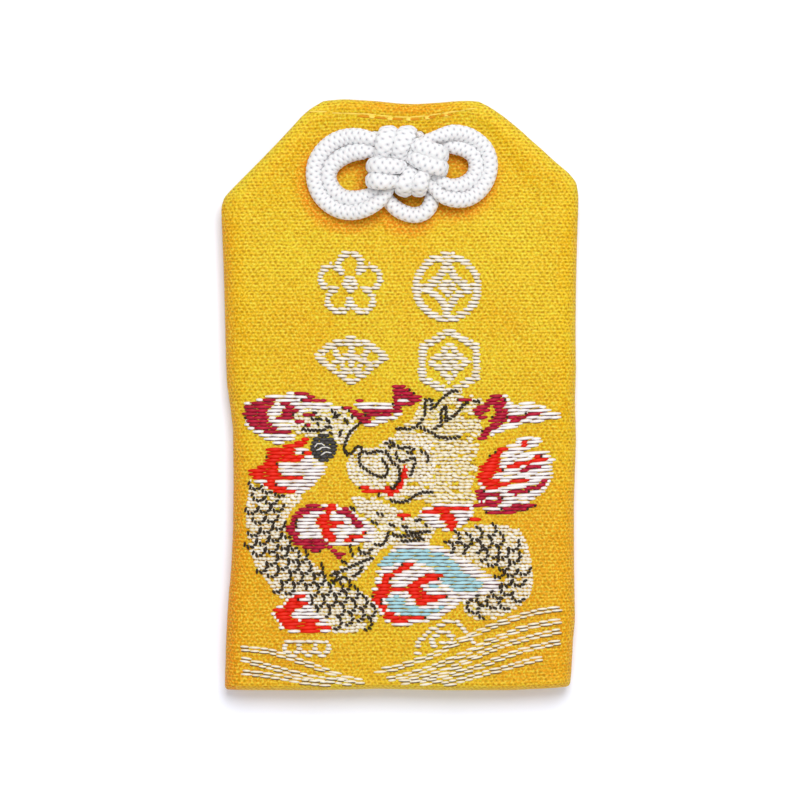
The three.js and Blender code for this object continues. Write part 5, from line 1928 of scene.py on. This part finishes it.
class CHARM_OT_stitches(bpy.types.Operator):
    """Sews the hem of the mouth and the two side seams"""

    bl_idname = "charm.stitches"
    bl_label = "Stitches"

    def execute(self, context):
        settings = context.scene.charm_stitches
        tree = stitch_row_tree()
        thread = sewing_material("sewing_thread", settings.colour)
        hem_shadow_material = sewing_material("hem_shade", linear(*HEM_SHADOW_DASH["colour"]))
        pitch, tucks = settings.pitch, HEM_SPANS["tucks"]
        hem = {"length": settings.length, "width": settings.thickness}
        rows = {
            "hem_stitches": (hem_path(HEM_SPANS["stitches"], 0, 0), pitch, hem, thread),
            # Dark orange dashes below the hem stitches, a painted shadow
            "hem_shadow_dashes": (hem_path(tucks, HEM_SHADOW_DASH["below"], 0), pitch, HEM_SHADOW_DASH, hem_shadow_material),
            "hem_tucks": (hem_path(tucks, TUCK["below"], pitch / 2), pitch, TUCK, thread),
            "left_seam_stitches": (side_path(left_edge, -1), SEAM_STITCH["pitch"], SEAM_STITCH, thread),
            "right_seam_stitches": (side_path(right_edge, 1), SEAM_STITCH["pitch"], SEAM_STITCH, thread),
        }
        for name, ((places, facing), apart, stitch, material) in rows.items():
            places = places + facing * settings.thickness * STITCH_LIFT
            edges = [(k, k + 1) for k in range(len(places) - 1)]
            source = guide("seam", places, {"facing": facing}, edges)
            tree_modifier(source, tree, {
                "Stitch Pitch": apart, "Stitch Length": stitch["length"], "Thread Width": stitch["width"],
                "Thread Height": settings.thickness, "Material": material, **STITCH_FORM,
            })
            piece = baked(source, name)
            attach(piece, "pouch")
        return {"FINISHED"}


# What is inside

INNER_FINISHES = {
    "front_interfacing": ("interfacing_paper", "paper_fibre", (238, 232, 216), (220, 210, 188), 0.75),
    "back_interfacing": ("interfacing_paper", "paper_fibre", (238, 232, 216), (220, 210, 188), 0.75),
    "stiffener_card": ("grey_card", "paper_fibre", (206, 198, 182), (178, 168, 148), 0.7),
    "talisman_wrapper": ("wrapping_paper", "paper_fibre", (244, 240, 230), (226, 218, 200), 0.6),
    "talisman_tablet": ("planed_wood", "wood_grain", (222, 190, 142), (192, 150, 98), 0.55),
}


class CHARM_OT_inner_finishes(bpy.types.Operator):
    """Finishes the papers, card and tablet inside the pouch"""

    bl_idname = "charm.inner_finishes"
    bl_label = "Inner Finishes"

    def execute(self, context):
        for node, (name, group, base, streak, roughness) in INNER_FINISHES.items():
            inputs = {"Base Colour": opaque(linear(*base)), "Streak Colour": opaque(linear(*streak))}
            material = finish_material(name, group, "Object", inputs, 0.03 * MM, roughness=roughness)
            for slot in frame["nodes"][node].material_slots:
                slot.material = material
        return {"FINISHED"}


# The stage

LIGHTS = {
    "key": {"place": (0.04, 0.18, 0.42), "size": 0.2},
    "fill": {"place": (0, -0.34, 0.3), "size": 0.3},
}
SENSOR_WIDTH = 36
CLIP_START = 0.01
FLOOR = {"reach": 1.5, "tint": (1, 1.04, 1.15), "unseen": 0.85, "far": 2.6, "fades": (0.06, 0.8)}


def seen_by_camera(tree):
    """1 for what the camera sees, straight or in a reflection, and 0 for the light that things catch."""
    path = add_node(tree, "ShaderNodeLightPath")
    return maths("MAXIMUM", Wire(path, "Is Camera Ray"), Wire(path, "Is Glossy Ray"))


class CHARM_OT_stage(bpy.types.Operator):
    """Sets the camera over the pouch, with soft light and a pale floor"""

    bl_idname = "charm.stage"
    bl_label = "Camera, Light and Floor"

    def execute(self, context):
        stage = context.scene.charm_stage
        self.add_camera(context)
        self.add_light("key", stage.key_power)
        self.add_light("fill", stage.fill_power)
        self.add_sky(context, stage)
        self.add_floor(stage)
        context.scene.view_settings.view_transform = "Standard"
        return {"FINISHED"}

    def add_camera(self, context):
        data = bpy.data.cameras.new("photo_camera")
        camera = linked("photo_camera", data)
        camera.location = (*from_photo([PHOTO["view_middle"]])[0], CAMERA_HEIGHT)
        data.sensor_width = SENSOR_WIDTH
        data.lens = SENSOR_WIDTH * (CAMERA_HEIGHT - SURFACE) / (PHOTO["width"] * PHOTO["pixel"])
        data.clip_start = CLIP_START
        context.scene.camera = camera

    def add_light(self, name, power):
        data = bpy.data.lights.new(name + "_light", "AREA")
        data.energy = power
        data.size = LIGHTS[name]["size"]
        light = linked(name + "_light", data)
        light.location = LIGHTS[name]["place"]
        light.rotation_euler = (-light.location).to_track_quat("-Z", "Y").to_euler()

    def add_sky(self, context, stage):
        world = bpy.data.worlds.new("studio")
        context.scene.world = world
        world.use_nodes = True
        tree = world.node_tree
        background = tree.nodes["Background"]
        background.inputs["Color"].default_value = (1, 1, 1, 1)
        strength = maths("MAXIMUM", seen_by_camera(tree), stage.sky_strength)
        tree.links.new(strength.socket, background.inputs["Strength"])

    def add_floor(self, stage):
        """A white floor, which the camera sees a little brighter far from the pouch."""
        reach = FLOOR["reach"]
        corners = [(-reach, -reach, 0), (reach, -reach, 0), (reach, reach, 0), (-reach, reach, 0)]
        material = bpy.data.materials.new("pale_floor")
        material.use_nodes = True
        tree = material.node_tree
        shader = tree.nodes["Principled BSDF"]
        shader.inputs["Roughness"].default_value = 1
        shader.inputs["Specular IOR Level"].default_value = 0
        place = wired(tree, "ShaderNodeTexCoord", output="Object")
        away = wired(tree, "ShaderNodeVectorMath", {0: place}, "Value", operation="LENGTH")
        near_colour = opaque([stage.floor_gain * part for part in FLOOR["tint"]])
        colour = mixed_colour(share_between(away, *FLOOR["fades"]), near_colour, opaque([FLOOR["far"]] * 3))
        colour = mixed_colour(seen_by_camera(tree), opaque([FLOOR["unseen"]] * 3), colour)
        tree.links.new(colour.socket, shader.inputs["Base Color"])
        floor = new_object("pale_floor", corners, [(0, 1, 2, 3)], material)
        floor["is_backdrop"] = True


class CHARM_PT_panel(bpy.types.Panel):
    bl_idname = "CHARM_PT_panel"
    bl_label = "Charm Pouch"
    bl_space_type = "VIEW_3D"
    bl_region_type = "UI"
    bl_category = "Charm"

    def draw(self, context):
        layout = self.layout
        for key, group in SETTINGS.items():
            box = layout.box()
            box.label(text=key.replace("charm_", "").title())
            for prop in group.__annotations__:
                box.prop(getattr(context.scene, key), prop)
        for operator in OPERATORS:
            layout.operator(operator.bl_idname)


OPERATORS = (
    CHARM_OT_stage, CHARM_OT_knotted_cord, CHARM_OT_brocade, CHARM_OT_woven_figure, CHARM_OT_stitches,
    CHARM_OT_inner_finishes,
)
CLASSES = (*SETTINGS.values(), *OPERATORS, CHARM_PT_panel)


def register():
    for each in CLASSES:
        bpy.utils.register_class(each)
    for key, group in SETTINGS.items():
        setattr(bpy.types.Scene, key, bpy.props.PointerProperty(type=group))


def unregister():
    for key in SETTINGS:
        delattr(bpy.types.Scene, key)
    for each in reversed(CLASSES):
        bpy.utils.unregister_class(each)


def main():
    register()
    for operator in OPERATORS:
        group, name = operator.bl_idname.split(".")
        getattr(getattr(bpy.ops, group), name)()
    found = {"cad": cad_box, "visual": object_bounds()}
    boxes = {name: [list(corner) for corner in box] for name, box in found.items()}


if __name__ == "__main__":
    main()
